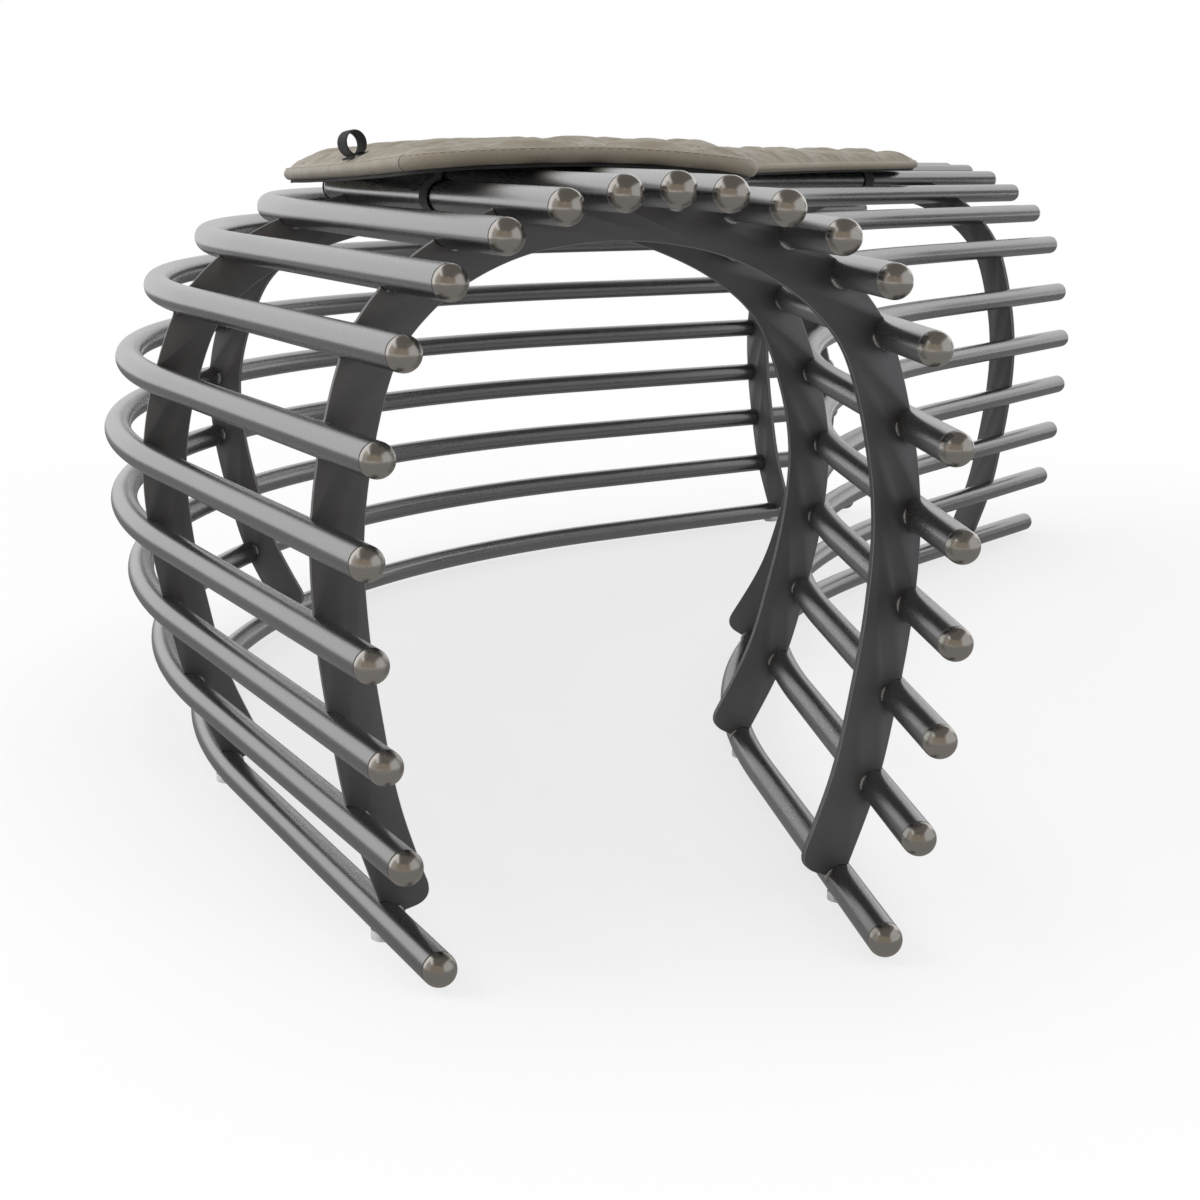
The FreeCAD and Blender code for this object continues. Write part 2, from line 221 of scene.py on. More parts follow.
# Photograph's camera, measured in its 1200 pixel frame
CAMERA_PLACE = Vector((-2.0069, -0.4611, 0.4446))
CAMERA_YAW = math.radians(77.031)
CAMERA_PITCH = math.radians(-11.020)
CAMERA_ROLL = math.radians(0.550)
CAMERA_LENS = 69.0
CAMERA_SENSOR = 36.0

# Stage: cards hold name, size, place, turn and colour; lamps hold name, place, size and power
FLOOR_SIZE = 14
FLOOR_DROP = 0.5 * MM
FLOOR_FADE_REACH = (0.7, 1.7)
FLOOR_FADE = (0.72, 1)
WORLD_LIGHT = 0.55
LEVEL = (0, 0, 0)
UPRIGHT = (math.pi / 2, 0, 0)
UPRIGHT_BEHIND_CAMERA = (math.pi / 2, 0, math.radians(-77))
CARDS = (
    ("floor_card", (6, 6), (0, 0, 0.2 * MM), LEVEL, (0.26, 0.255, 0.25)),
    ("ceiling_card", (7, 4), (-0.6, -0.6, 2.6), LEVEL, (0.16, 0.15, 0.14)),
    ("room_card", (14, 4.6), (-4.7, 0.94, 2.3), UPRIGHT_BEHIND_CAMERA, (0.31, 0.27, 0.225)),
    ("left_card", (4, 4.6), (-3.6, 4.2, 2.3), UPRIGHT, (0.42, 0.4, 0.37)),
    ("dark_side_card", (1.8, 1.6), (3.5, -3.6, 1.0), UPRIGHT, (0.04, 0.045, 0.06)),
    ("grey_side_card", (6.6, 3.4), (-0.7, -3.6, 1.7), UPRIGHT, (0.55, 0.55, 0.56)),
    ("lamp_card", (0.3, 0.14), (-4.0, -0.5, 2.0), UPRIGHT_BEHIND_CAMERA, (1.6, 1.5, 1.35)),
    ("window_card", (0.2, 0.5), (-4.0, -2.4, 1.4), UPRIGHT_BEHIND_CAMERA, (1.1, 1.1, 1.15)),
)
LAMPS = (
    ("key", (-1.6, 2.6, 2.3), (2.4, 1.6), 62),
    ("fill", (-2.2, -2.6, 1.5), (1.8, 1.8), 24),
    ("top", (0.2, 0.1, 3.0), (2.2, 1.4), 34),
)
LAMP_AIM = Vector((0, 0, 0.25))


def tube_box(number):
    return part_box(f"tube_{number:02d}")


def axis_height(number):
    low, high = tube_box(number)
    return (low.z + high.z) / 2


CROWN_LOW, CROWN_HIGH = tube_box(CROWN_NUMBER)
TUBE_RADIUS = (CROWN_HIGH.z - CROWN_LOW.z) / 2
PLAN_SHIFT = CROWN_HIGH.y - TUBE_RADIUS


class Path:
    """Plan line of one tube, measured by its length from the middle of the bench."""

    def __init__(self, end_offset):
        self.middle = PLAN_SHIFT + MIDDLE_WIDENING_SHARE * end_offset
        self.reach = HALF_CHORD + end_offset * math.sin(END_TURN)
        end_depth = CROWN_SAGITTA - end_offset * math.cos(END_TURN)
        self.sagitta = self.middle - PLAN_SHIFT + end_depth
        self.leg = STRAIGHT_SHARE * self.reach
        self.bend = halve(self.sags_less, 0.0, math.pi / 2)
        self.radius = (self.reach - self.leg * math.cos(self.bend)) / math.sin(self.bend)
        self.centre = self.middle - self.radius
        self.half = self.radius * self.bend + self.leg

    def sags_less(self, angle):
        arc_part = (self.reach - self.leg * math.cos(angle)) * math.tan(angle / 2)
        return arc_part + self.leg * math.sin(angle) < self.sagitta

    def angle(self, station):
        return max(-self.bend, min(self.bend, station / self.radius))

    def point(self, station, height=0.0):
        angle = self.angle(station)
        straight = station - self.radius * angle
        x = self.radius * math.sin(angle) + straight * math.cos(angle)
        y = self.centre + self.radius * math.cos(angle) - straight * math.sin(angle)
        return Vector((x, y, height))

    def along(self, station):
        angle = self.angle(station)
        return Vector((math.cos(angle), -math.sin(angle), 0))

    def outward(self, station):
        angle = self.angle(station)
        return Vector((math.sin(angle), math.cos(angle), 0))

    def crossing(self, origin, across):
        """Station where the upright plane through origin, holding across, meets this line."""
        normal = across.cross(UP)
        return halve(lambda s: (self.point(s) - origin).dot(normal) < 0, -self.half, self.half)


def halve(is_low, low, high, steps=50):
    """The place between low and high where is_low turns false."""
    for _ in range(steps):
        middle = (low + high) / 2
        if is_low(middle):
            low = middle
        else:
            high = middle
    return (low + high) / 2


def end_offsets():
    outer = [END_HALF_WIDTH * share for share in WIDTH_SHARES]
    return outer + [-offset for offset in reversed(outer[:-1])]


PATHS = [Path(offset) for offset in end_offsets()]
HEIGHTS = [axis_height(number) for number in range(1, TUBE_COUNT + 1)]
CROWN = PATHS[CROWN_NUMBER - 1]
PAD_SIDE_INDEX = STRAP_TUBES["outer"] - 1
PAD_SIDE = PATHS[PAD_SIDE_INDEX]
NEAR_RIB_STATION = NEAR_RIB_OVERHANG - CROWN.half
FAR_RIB_STATION = CROWN.half - FAR_RIB_OVERHANG
RIB_STATIONS = (NEAR_RIB_STATION, SECOND_RIB_STATION, THIRD_RIB_STATION, FAR_RIB_STATION)
PAD_HALF = CROWN.half - PAD_OVERHANG
PAD_SEAT = CROWN_HIGH.z + PAD_SEAT_GAP
PAD_FLOOR = PAD_SEAT + PAD_BASE_THICKNESS


def length_property(name, value, words):
    return FloatProperty(name=name, description=words, default=value, unit="LENGTH")


def count_property(name, value, words, least):
    return IntProperty(name=name, description=words, default=value, min=least)


def colour_property(name, value, words):
    return FloatVectorProperty(
        name=name, description=words, subtype="COLOR", size=3, min=0, max=1, default=value)


class MetalSizes(bpy.types.PropertyGroup):
    """Sizes of the metal pieces' finish."""
    tube_sides: count_property("Tube sides", 44, "Facets round a tube", 12)
    tube_step: length_property("Tube step", 18 * MM, "Length of one facet along a tube")
    cap_seam: length_property("Cap seam", 0.35 * MM, "Groove between a tube and its cap")
    plate_edge: length_property("Plate edge", 0.55 * MM, "Rounding of the plates' cut edges")
    weld_reach: length_property("Weld reach", 5.2 * MM, "Half length of a weld tack")
    weld_bead: length_property("Weld bead", 1.5 * MM, "Radius of a weld tack")


class PadSizes(bpy.types.PropertyGroup):
    """Sizes of the quilted pad."""
    crown: length_property("Crown", 10.4 * MM, "Thickness along the middle")
    edge: length_property("Edge", 10 * MM, "Height of the border band")
    shoulder: length_property("Shoulder", 38 * MM, "Distance from the seam in which the top rises")
    thinning: length_property("Thinning", 2.5 * MM, "How much thinner the far end is")
    band: length_property("Band", 5 * MM, "How far the band bulges past the seam")
    corner: length_property("Corner", 36 * MM, "Plan radius of the corners")
    diamond: length_property("Diamond", 66 * MM, "Width of one quilted diamond")
    puff: length_property("Puff", 3 * MM, "Rise of a diamond over its stitches")
    swell: length_property("Swell", 2.6 * MM, "Most that the filling lifts the leather")
    pressure: FloatProperty(name="Pressure", description="Pressure of the filling", default=4.0)
    rows: count_property("Rows", 312, "Mesh rows along the pad", 40)
    columns: count_property("Columns", 56, "Mesh columns across the pad", 16)
    stitch: length_property("Stitch", 4.2 * MM, "Length of one stitch")
    thread: length_property("Thread", 0.3 * MM, "Radius of the thread")


class StrapSizes(bpy.types.PropertyGroup):
    """Sizes of the straps, studs and pull loop."""
    width: length_property("Strap width", 18 * MM, "Width of the elastic")
    thickness: length_property("Strap thickness", 1.3 * MM, "Thickness of the elastic")
    stud: length_property("Stud radius", 3.5 * MM, "Radius of a press stud")
    loop: length_property("Loop radius", 8.5 * MM, "Outer radius of the pull loop")
    loop_width: length_property("Loop width", 12 * MM, "Width of the webbing")
    loop_turn: FloatProperty(
        name="Loop turn", description="Turn of the loop on its seat", default=math.radians(21),
        subtype="ANGLE")


class Colours(bpy.types.PropertyGroup):
    """Base colours of the finishes."""
    tube: colour_property("Tube", (0.33, 0.33, 0.335), "Satin gunmetal of the tubes")
    plate: colour_property("Plate", (0.25, 0.252, 0.264), "Satin charcoal of the plates")
    nickel: colour_property("Nickel", (0.56, 0.53, 0.49), "Polished nickel of the caps")
    weld: colour_property("Weld", (0.62, 0.62, 0.62), "Bare weld metal")
    glide: colour_property("Glide", (0.78, 0.79, 0.8), "Clear white plastic of the glides")
    leather: colour_property("Leather", (0.226, 0.196, 0.15), "Taupe leather of the pad")
    thread: colour_property("Thread", (0.43, 0.385, 0.315), "Pale thread of the border")
    backing: colour_property("Backing", (0.012, 0.012, 0.013), "Black sheet under the pad")
    elastic: colour_property("Elastic", (0.012, 0.012, 0.012), "Black elastic and webbing")
    floor: colour_property("Floor", (0.86, 0.86, 0.86), "Pale floor")


class BenchSettings(bpy.types.PropertyGroup):
    """All settings of the bench."""
    metal: PointerProperty(type=MetalSizes)
    pad: PointerProperty(type=PadSizes)
    straps: PointerProperty(type=StrapSizes)
    colours: PointerProperty(type=Colours)


def settings():
    return bpy.context.scene.bench


def turns(sides):
    return [2 * math.pi * i / sides for i in range(sides)]


def circle(centre, first, second, radius, sides):
    """Points round a centre, from the direction first towards second."""
    return [centre + (first * math.cos(t) + second * math.sin(t)) * radius for t in turns(sides)]


def ring_faces(first, second, closed=True):
    """Quads between two rows of vertex numbers of the same length."""
    total = len(first)
    quads = []
    for i in range(total if closed else total - 1):
        j = (i + 1) % total
        quads.append((first[i], first[j], second[j], second[i]))
    return quads


def grid_rim(rows, columns):
    """(row, column) pairs round the edge of a grid, in order."""
    walk = [(row, 0) for row in range(rows)]
    walk += [(rows, column) for column in range(columns)]
    walk += [(row, columns) for row in range(rows, 0, -1)]
    walk += [(0, column) for column in range(columns, 0, -1)]
    return walk


class Shape:
    """Collects the vertices and faces of one mesh."""

    def __init__(self):
        self.verts = []
        self.faces = []

    def ring(self, points):
        """Adds points and gives their vertex numbers."""
        start = len(self.verts)
        self.verts += points
        return list(range(start, len(self.verts)))

    def loft(self, rows):
        """Joins closed rows of points in order, with a face over the first and the last."""
        rings = [self.ring(row) for row in rows]
        for first, second in zip(rings, rings[1:]):
            self.faces += ring_faces(first, second)
        self.faces += [tuple(reversed(rings[0])), tuple(rings[-1])]

    def lathe(self, profile, base, axis, sides):
        """Turns (radius, height) pairs round an axis; a radius of 0 is a pole."""
        side = axis.orthogonal().normalized()
        other = axis.cross(side)
        rings = []
        for radius, height in profile:
            centre = base + axis * height
            is_pole = radius == 0
            points = [centre] if is_pole else circle(centre, side, other, radius, sides)
            rings.append(self.ring(points))
        for first, second in zip(rings, rings[1:]):
            if len(first) == 1:
                self.faces += [(first[0], second[i], second[(i + 1) % sides]) for i in range(sides)]
            elif len(second) == 1:
                self.faces += [(first[(i + 1) % sides], first[i], second[0]) for i in range(sides)]
            else:
                self.faces += ring_faces(second, first)

    def mesh(self, name):
        mesh = bpy.data.meshes.new(name)
        mesh.from_pydata([tuple(v) for v in self.verts], [], self.faces)
        mesh.validate()
        work = bmesh.new()
        work.from_mesh(mesh)
        bmesh.ops.recalc_face_normals(work, faces=work.faces)
        work.to_mesh(mesh)
        work.free()
        return mesh


def piece(name, mesh, material, nodes=(), smooth_angle=40):
    """Adds a finished piece that rides on the bench and stands for the given nodes."""
    obj = bpy.data.objects.new(name, mesh)
    bpy.context.scene.collection.objects.link(obj)
    mesh.materials.clear()
    mesh.materials.append(material)
    mesh.polygons.foreach_set("use_smooth", [len(face.vertices) <= 4 for face in mesh.polygons])
    mesh.set_sharp_from_angle(angle=math.radians(smooth_angle))
    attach(obj, "root")
    if nodes:
        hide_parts(*nodes)
    return obj


class Tree:
    """Short hand for adding and joining shader nodes."""

    def __init__(self, tree):
        self.tree = tree

    def node(self, kind, **values):
        made = self.tree.nodes.new(kind)
        for name, value in values.items():
            setattr(made, name, value)
        return made

    def join(self, source, target):
        self.tree.links.new(source, target)

    def noise(self, source, scale, detail, roughness=0.5):
        made = self.node("ShaderNodeTexNoise")
        made.inputs["Scale"].default_value = scale
        made.inputs["Detail"].default_value = detail
        made.inputs["Roughness"].default_value = roughness
        self.join(source, made.inputs["Vector"])
        return made.outputs["Fac"]

    def span(self, value, given, wanted):
        """Maps value from the given range to the wanted one, clamped."""
        made = self.node("ShaderNodeMapRange")
        for index, number in enumerate((*given, *wanted), start=1):
            made.inputs[index].default_value = number
        self.join(value, made.inputs[0])
        return made.outputs[0]

    def maths(self, operation, first, second):
        made = self.node("ShaderNodeMath", operation=operation)
        for socket, value in zip(made.inputs, (first, second)):
            if isinstance(value, (int, float)):
                socket.default_value = value
            else:
                self.join(value, socket)
        return made.outputs[0]

    def mix(self, factor, first, second):
        """Mix of two colours, each a socket or plain numbers."""
        made = self.node("ShaderNodeMix", data_type="RGBA")
        sockets = [made.inputs[number] for number in (0, 6, 7)]
        for socket, value in zip(sockets, (factor, first, second)):
            if hasattr(value, "is_linked"):
                self.join(value, socket)
            else:
                socket.default_value = value
        return made.outputs[2]

    def scaled(self, source, scale):
        made = self.node("ShaderNodeMapping")
        made.inputs["Scale"].default_value = scale
        self.join(source, made.inputs["Vector"])
        return made.outputs["Vector"]


VALUE = "NodeSocketFloat"
VECTOR = "NodeSocketVector"


def group(name, inputs, outputs, fill):
    """Shader node group with a place, named value inputs and value outputs, made once."""
    if name in bpy.data.node_groups:
        return bpy.data.node_groups[name]
    made = bpy.data.node_groups.new(name, "ShaderNodeTree")
    made.interface.new_socket("Place", in_out="INPUT", socket_type=VECTOR)
    for label, value in inputs.items():
        socket = made.interface.new_socket(label, in_out="INPUT", socket_type=VALUE)
        socket.default_value = value
    for label in outputs:
        made.interface.new_socket(label, in_out="OUTPUT", socket_type=VALUE)
    tree = Tree(made)
    fill(tree, tree.node("NodeGroupInput").outputs, tree.node("NodeGroupOutput").inputs)
    return made


def satin_group():
    """Fine lengthwise brushing with soft smudges: gives a tone, a roughness shift and a height."""
    def fill(tree, given, out):
        stretched = tree.scaled(given["Place"], (1, 45, 45))
        brushed = tree.noise(stretched, scale=60, detail=3, roughness=0.6)
        smudge = tree.noise(given["Place"], scale=6, detail=3)
        speck = tree.noise(given["Place"], scale=900, detail=2)
        smudged = tree.span(smudge, (0.35, 0.68), (-1, 1))
        tone = tree.maths("ADD", tree.maths("MULTIPLY", smudged, given["Smudge"]), 0.5)
        streaks = tree.span(brushed, (0.3, 0.7), (-0.5, 0.5))
        rough = tree.maths("ADD", streaks, tree.span(smudge, (0.4, 0.7), (-0.4, 0.6)))
        height = tree.maths("ADD", brushed, tree.maths("MULTIPLY", speck, 0.4))
        tree.join(tone, out["Tone"])
        tree.join(tree.maths("MULTIPLY", rough, given["Streak"]), out["Roughness shift"])
        tree.join(height, out["Height"])
    return group(
        "Satin brushing", {"Smudge": 0.1, "Streak": 0.08},
        ("Tone", "Roughness shift", "Height"), fill)


def grain_group():
    """Pebbled hide: cells with creases between them, in two sizes, and slow changes of tone."""
    def fill(tree, given, out):
        wobble = tree.node("ShaderNodeTexNoise")
        wobble.inputs["Scale"].default_value = 160
        tree.join(given["Place"], wobble.inputs["Vector"])
        small = tree.node("ShaderNodeVectorMath", operation="SCALE")
        small.inputs["Scale"].default_value = 0.003
        tree.join(wobble.outputs["Color"], small.inputs[0])
        bent = tree.node("ShaderNodeVectorMath", operation="ADD")
        tree.join(given["Place"], bent.inputs[0])
        tree.join(small.outputs[0], bent.inputs[1])
        cells = tree.node("ShaderNodeTexVoronoi", feature="DISTANCE_TO_EDGE")
        tree.join(given["Pebbles"], cells.inputs["Scale"])
        tree.join(bent.outputs[0], cells.inputs["Vector"])
        pebble = tree.span(cells.outputs["Distance"], (0, 0.16), (0, 1))
        fine = tree.noise(given["Place"], scale=1500, detail=3)
        slow = tree.noise(given["Place"], scale=9, detail=4)
        crease = tree.noise(given["Place"], scale=55, detail=5, roughness=0.7)
        height = tree.maths("ADD", pebble, tree.maths("MULTIPLY", fine, 0.35))
        pebble_tone = tree.span(pebble, (0, 1), (0.72, 1))
        slow_tone = tree.span(slow, (0.3, 0.7), (0.9, 1.06))
        tree.join(tree.maths("MULTIPLY", pebble_tone, slow_tone), out["Tone"])
        tree.join(tree.span(crease, (0.42, 0.6), (-0.06, 0.07)), out["Roughness shift"])
        tree.join(height, out["Height"])
    return group("Hide grain", {"Pebbles": 520.0}, ("Tone", "Roughness shift", "Height"), fill)


def weave_group():
    """Crossed threads: two wave sets at right angles, for elastic, webbing and backing."""
    def fill(tree, given, out):
        bands = []
        for direction in ("X", "Y"):
            wave = tree.node("ShaderNodeTexWave", bands_direction=direction)
            wave.inputs["Distortion"].default_value = 0.6
            wave.inputs["Detail"].default_value = 1
            tree.join(given["Threads"], wave.inputs["Scale"])
            tree.join(given["Place"], wave.inputs["Vector"])
            bands.append(wave.outputs["Fac"])
        both = tree.maths("MAXIMUM", *bands)
        fuzz = tree.noise(given["Place"], scale=1200, detail=2)
        tree.join(tree.maths("ADD", both, tree.maths("MULTIPLY", fuzz, 0.5)), out["Height"])
        tree.join(tree.span(both, (0, 1), (0.5, 1.25)), out["Tone"])
    return group("Crossed threads", {"Threads": 300.0}, ("Tone", "Height"), fill)


class Finish:
    """A material with one shader, ready to take groups."""

    def __init__(self, name, colour, roughness, metallic=0.0):
        self.material = bpy.data.materials.new(name)
        self.material.use_nodes = True
        self.tree = Tree(self.material.node_tree)
        self.shader = self.material.node_tree.nodes["Principled BSDF"]
        self.colour = tuple(colour)
        self.roughness = roughness
        self.set("Base Color", (*self.colour, 1))
        self.set("Roughness", roughness)
        self.set("Metallic", metallic)

    def set(self, socket, value):
        self.shader.inputs[socket].default_value = value

    def place(self, layer=None):
        if layer:
            return self.tree.node("ShaderNodeUVMap", uv_map=layer).outputs["UV"]
        return self.tree.node("ShaderNodeTexCoord").outputs["Object"]

    def group(self, made, place, **values):
        node = self.tree.node("ShaderNodeGroup", node_tree=made)
        self.tree.join(place, node.inputs["Place"])
        for name, value in values.items():
            node.inputs[name].default_value = value
        return node.outputs

    def tint(self, tone, dark, light):
        """Base colour that runs from a darker to a lighter shade with tone."""
        low = [channel * dark for channel in self.colour]
        high = [min(1, channel * light) for channel in self.colour]
        shade = self.tree.mix(tone, (*low, 1), (*high, 1))
        self.tree.join(shade, self.shader.inputs["Base Color"])
        return shade

    def rough(self, shift):
        total = self.tree.maths("ADD", shift, self.roughness)
        self.tree.join(total, self.shader.inputs["Roughness"])

    def bump(self, height, distance, strength=1.0):
        bump = self.tree.node("ShaderNodeBump")
        bump.inputs["Distance"].default_value = distance
        bump.inputs["Strength"].default_value = strength
        self.tree.join(height, bump.inputs["Height"])
        self.tree.join(bump.outputs["Normal"], self.shader.inputs["Normal"])

    def satin(self, place, smudge, streak, dark, light):
        """Lays the brushing over colour and roughness; gives its height and the tinted shade."""
        brushing = self.group(satin_group(), place, Smudge=smudge, Streak=streak)
        shade = self.tint(brushing["Tone"], dark, light)
        self.rough(brushing["Roughness shift"])
        return brushing["Height"], shade

    def wear_and_highlight(self, colour, shade):
        """Lighter metal on the marked edge faces: bare rubbed metal and a painted highlight."""
        mark = self.tree.node("ShaderNodeAttribute", attribute_name="worn_and_highlit").outputs["Fac"]
        worn_and_highlit = self.tree.mix(mark, shade, (*colour, 1))
        self.tree.join(worn_and_highlit, self.shader.inputs["Base Color"])


def tube_finish():
    finish = Finish("satin_gunmetal", settings().colours.tube, roughness=0.28, metallic=1.0)
    height, _ = finish.satin(finish.place("run"), smudge=0.16, streak=0.03, dark=0.9, light=1.1)
    finish.bump(height, distance=0.004 * MM, strength=0.15)
    return finish.material


def plate_finish():
    finish = Finish("satin_charcoal", settings().colours.plate, roughness=0.54, metallic=1.0)
    height, shade = finish.satin(
        finish.place("run"), smudge=0.4, streak=0.14, dark=0.78, light=1.25)
    # Cut edges lighter: a painted highlight along them, and bare rubbed metal
    finish.wear_and_highlight(EDGE_WEAR_AND_HIGHLIGHT_COLOUR, shade)
    finish.bump(height, distance=0.008 * MM, strength=0.4)
    return finish.material


def nickel_finish(name):
    finish = Finish(name, settings().colours.nickel, roughness=0.24, metallic=1.0)
    finish.satin(finish.place(), smudge=0.3, streak=0.05, dark=0.9, light=1.1)
    return finish.material


def weld_finish():
    finish = Finish("bare_weld", settings().colours.weld, roughness=0.3, metallic=1.0)
    height, _ = finish.satin(finish.place(), smudge=0.5, streak=0.2, dark=0.6, light=1.2)
    finish.bump(height, distance=0.08 * MM)
    return finish.material


def glide_finish():
    finish = Finish("clear_white_plastic", settings().colours.glide, roughness=0.32)
    finish.set("Subsurface Weight", 0.35)
    finish.set("Subsurface Radius", (4 * MM, 4 * MM, 4 * MM))
    finish.satin(finish.place(), smudge=0.3, streak=0.15, dark=0.92, light=1.04)
    return finish.material


def leather_finish():
    finish = Finish("taupe_leather", settings().colours.leather, roughness=0.46)
    finish.set("Specular IOR Level", 0.42)
    finish.set("Sheen Weight", 0.06)
    grain = finish.group(grain_group(), finish.place(), Pebbles=430.0)
    finish.tint(grain["Tone"], dark=0.7, light=1.06)
    finish.rough(grain["Roughness shift"])
    finish.bump(grain["Height"], distance=0.06 * MM, strength=0.5)
    return finish.material


def thread_finish(name, colour):
    finish = Finish(name, colour, roughness=0.6)
    finish.set("Sheen Weight", 0.25)
    weave = finish.group(weave_group(), finish.place(), Threads=900.0)
    finish.tint(weave["Tone"], dark=0.65, light=1.1)
    finish.bump(weave["Height"], distance=0.05 * MM)
    return finish.material


def cloth_finish(name, colour, threads, depth):
    finish = Finish(name, colour, roughness=0.82)
    finish.set("Sheen Weight", 0.18)
    finish.set("Sheen Roughness", 0.5)
    weave = finish.group(weave_group(), finish.place(), Threads=threads)
    finish.tint(weave["Tone"], dark=0.5, light=1.5)
    finish.bump(weave["Height"], distance=depth)
    return finish.material


def run_layer(mesh, places):
    """Stores a flat place for each vertex, in metres, as the layer that brushing follows."""
    layer = mesh.uv_layers.new(name="run")
    for loop in mesh.loops:
        layer.data[loop.index].uv = places[loop.vertex_index]


def spaced(low, high, step):
    """Even places from low to high, about a step apart."""
    total = max(1, round((high - low) / step))
    return [low + (high - low) * i / total for i in range(total + 1)]


def tube_mesh(number):
    """Hollow tube: outer wall, eased ends and bore."""
    path, height = PATHS[number - 1], HEIGHTS[number - 1]
    sides = settings().metal.tube_sides
    end, ease = path.half, TUBE_END_EASE
    stations = spaced(-end, end, settings().metal.tube_step)
    walk = [(-end, TUBE_RADIUS - ease), (ease - end, TUBE_RADIUS)]
    walk += [(station, TUBE_RADIUS) for station in stations[1:-1]]
    walk += [(end - ease, TUBE_RADIUS), (end, TUBE_RADIUS - ease)]
    walk += [(station, TUBE_RADIUS - TUBE_WALL) for station in reversed(stations)]
    shape = Shape()
    rings = []
    places = []
    for station, radius in walk:
        centre, out = path.point(station, height), path.outward(station)
        rings.append(shape.ring(circle(centre, out, UP, radius, sides)))
        places += [(station, radius * abs(t - math.pi)) for t in turns(sides)]
    for first, second in zip(rings, rings[1:] + rings[:1]):
        shape.faces += ring_faces(first, second)
    mesh = shape.mesh(f"tube_{number:02d}_wall")
    run_layer(mesh, places)
    return mesh


def cap_profile():
    """Spigot, seam groove and dome of a cap, as (radius, height) from the tube's end."""
    seam = settings().metal.cap_seam
    plug = TUBE_RADIUS - TUBE_WALL - CAP_FIT
    lip = TUBE_RADIUS - seam
    profile = [(0, -CAP_SPIGOT), (plug - CAP_SPIGOT_EASE, -CAP_SPIGOT)]
    profile += [(plug, CAP_SPIGOT_EASE - CAP_SPIGOT), (plug, 0)]
    profile += [(lip - seam, 0), (lip - seam, seam), (lip, seam)]
    for step in range(1, DOME_STEPS):
        angle = math.pi / 2 * step / DOME_STEPS
        height = max(2 * seam, TUBE_RADIUS * math.sin(angle))
        profile.append((TUBE_RADIUS * math.cos(angle), height))
    profile.append((0, TUBE_RADIUS))
    return profile


def caps_mesh(name, side):
    shape = Shape()
    sides = settings().metal.tube_sides
    for path, height in zip(PATHS, HEIGHTS):
        station = side * path.half
        axis = path.along(station) * side
        shape.lathe(cap_profile(), path.point(station, height), axis, sides)
    return shape.mesh(name)


def smooth_run(points, per_span):
    """Points on a smooth line through the given ones, with per_span steps between two of them."""
    row = []
    ends = [points[0] * 2 - points[1]] + points + [points[-1] * 2 - points[-2]]
    for a, b, c, d in zip(ends, ends[1:], ends[2:], ends[3:]):
        for step in range(per_span):
            t = step / per_span
            bend = (2 * a - 5 * b + 4 * c - d) * t * t + (3 * b - a - 3 * c + d) * t * t * t
            row.append((2 * b + (c - a) * t + bend) / 2)
    return row + [points[-1]]


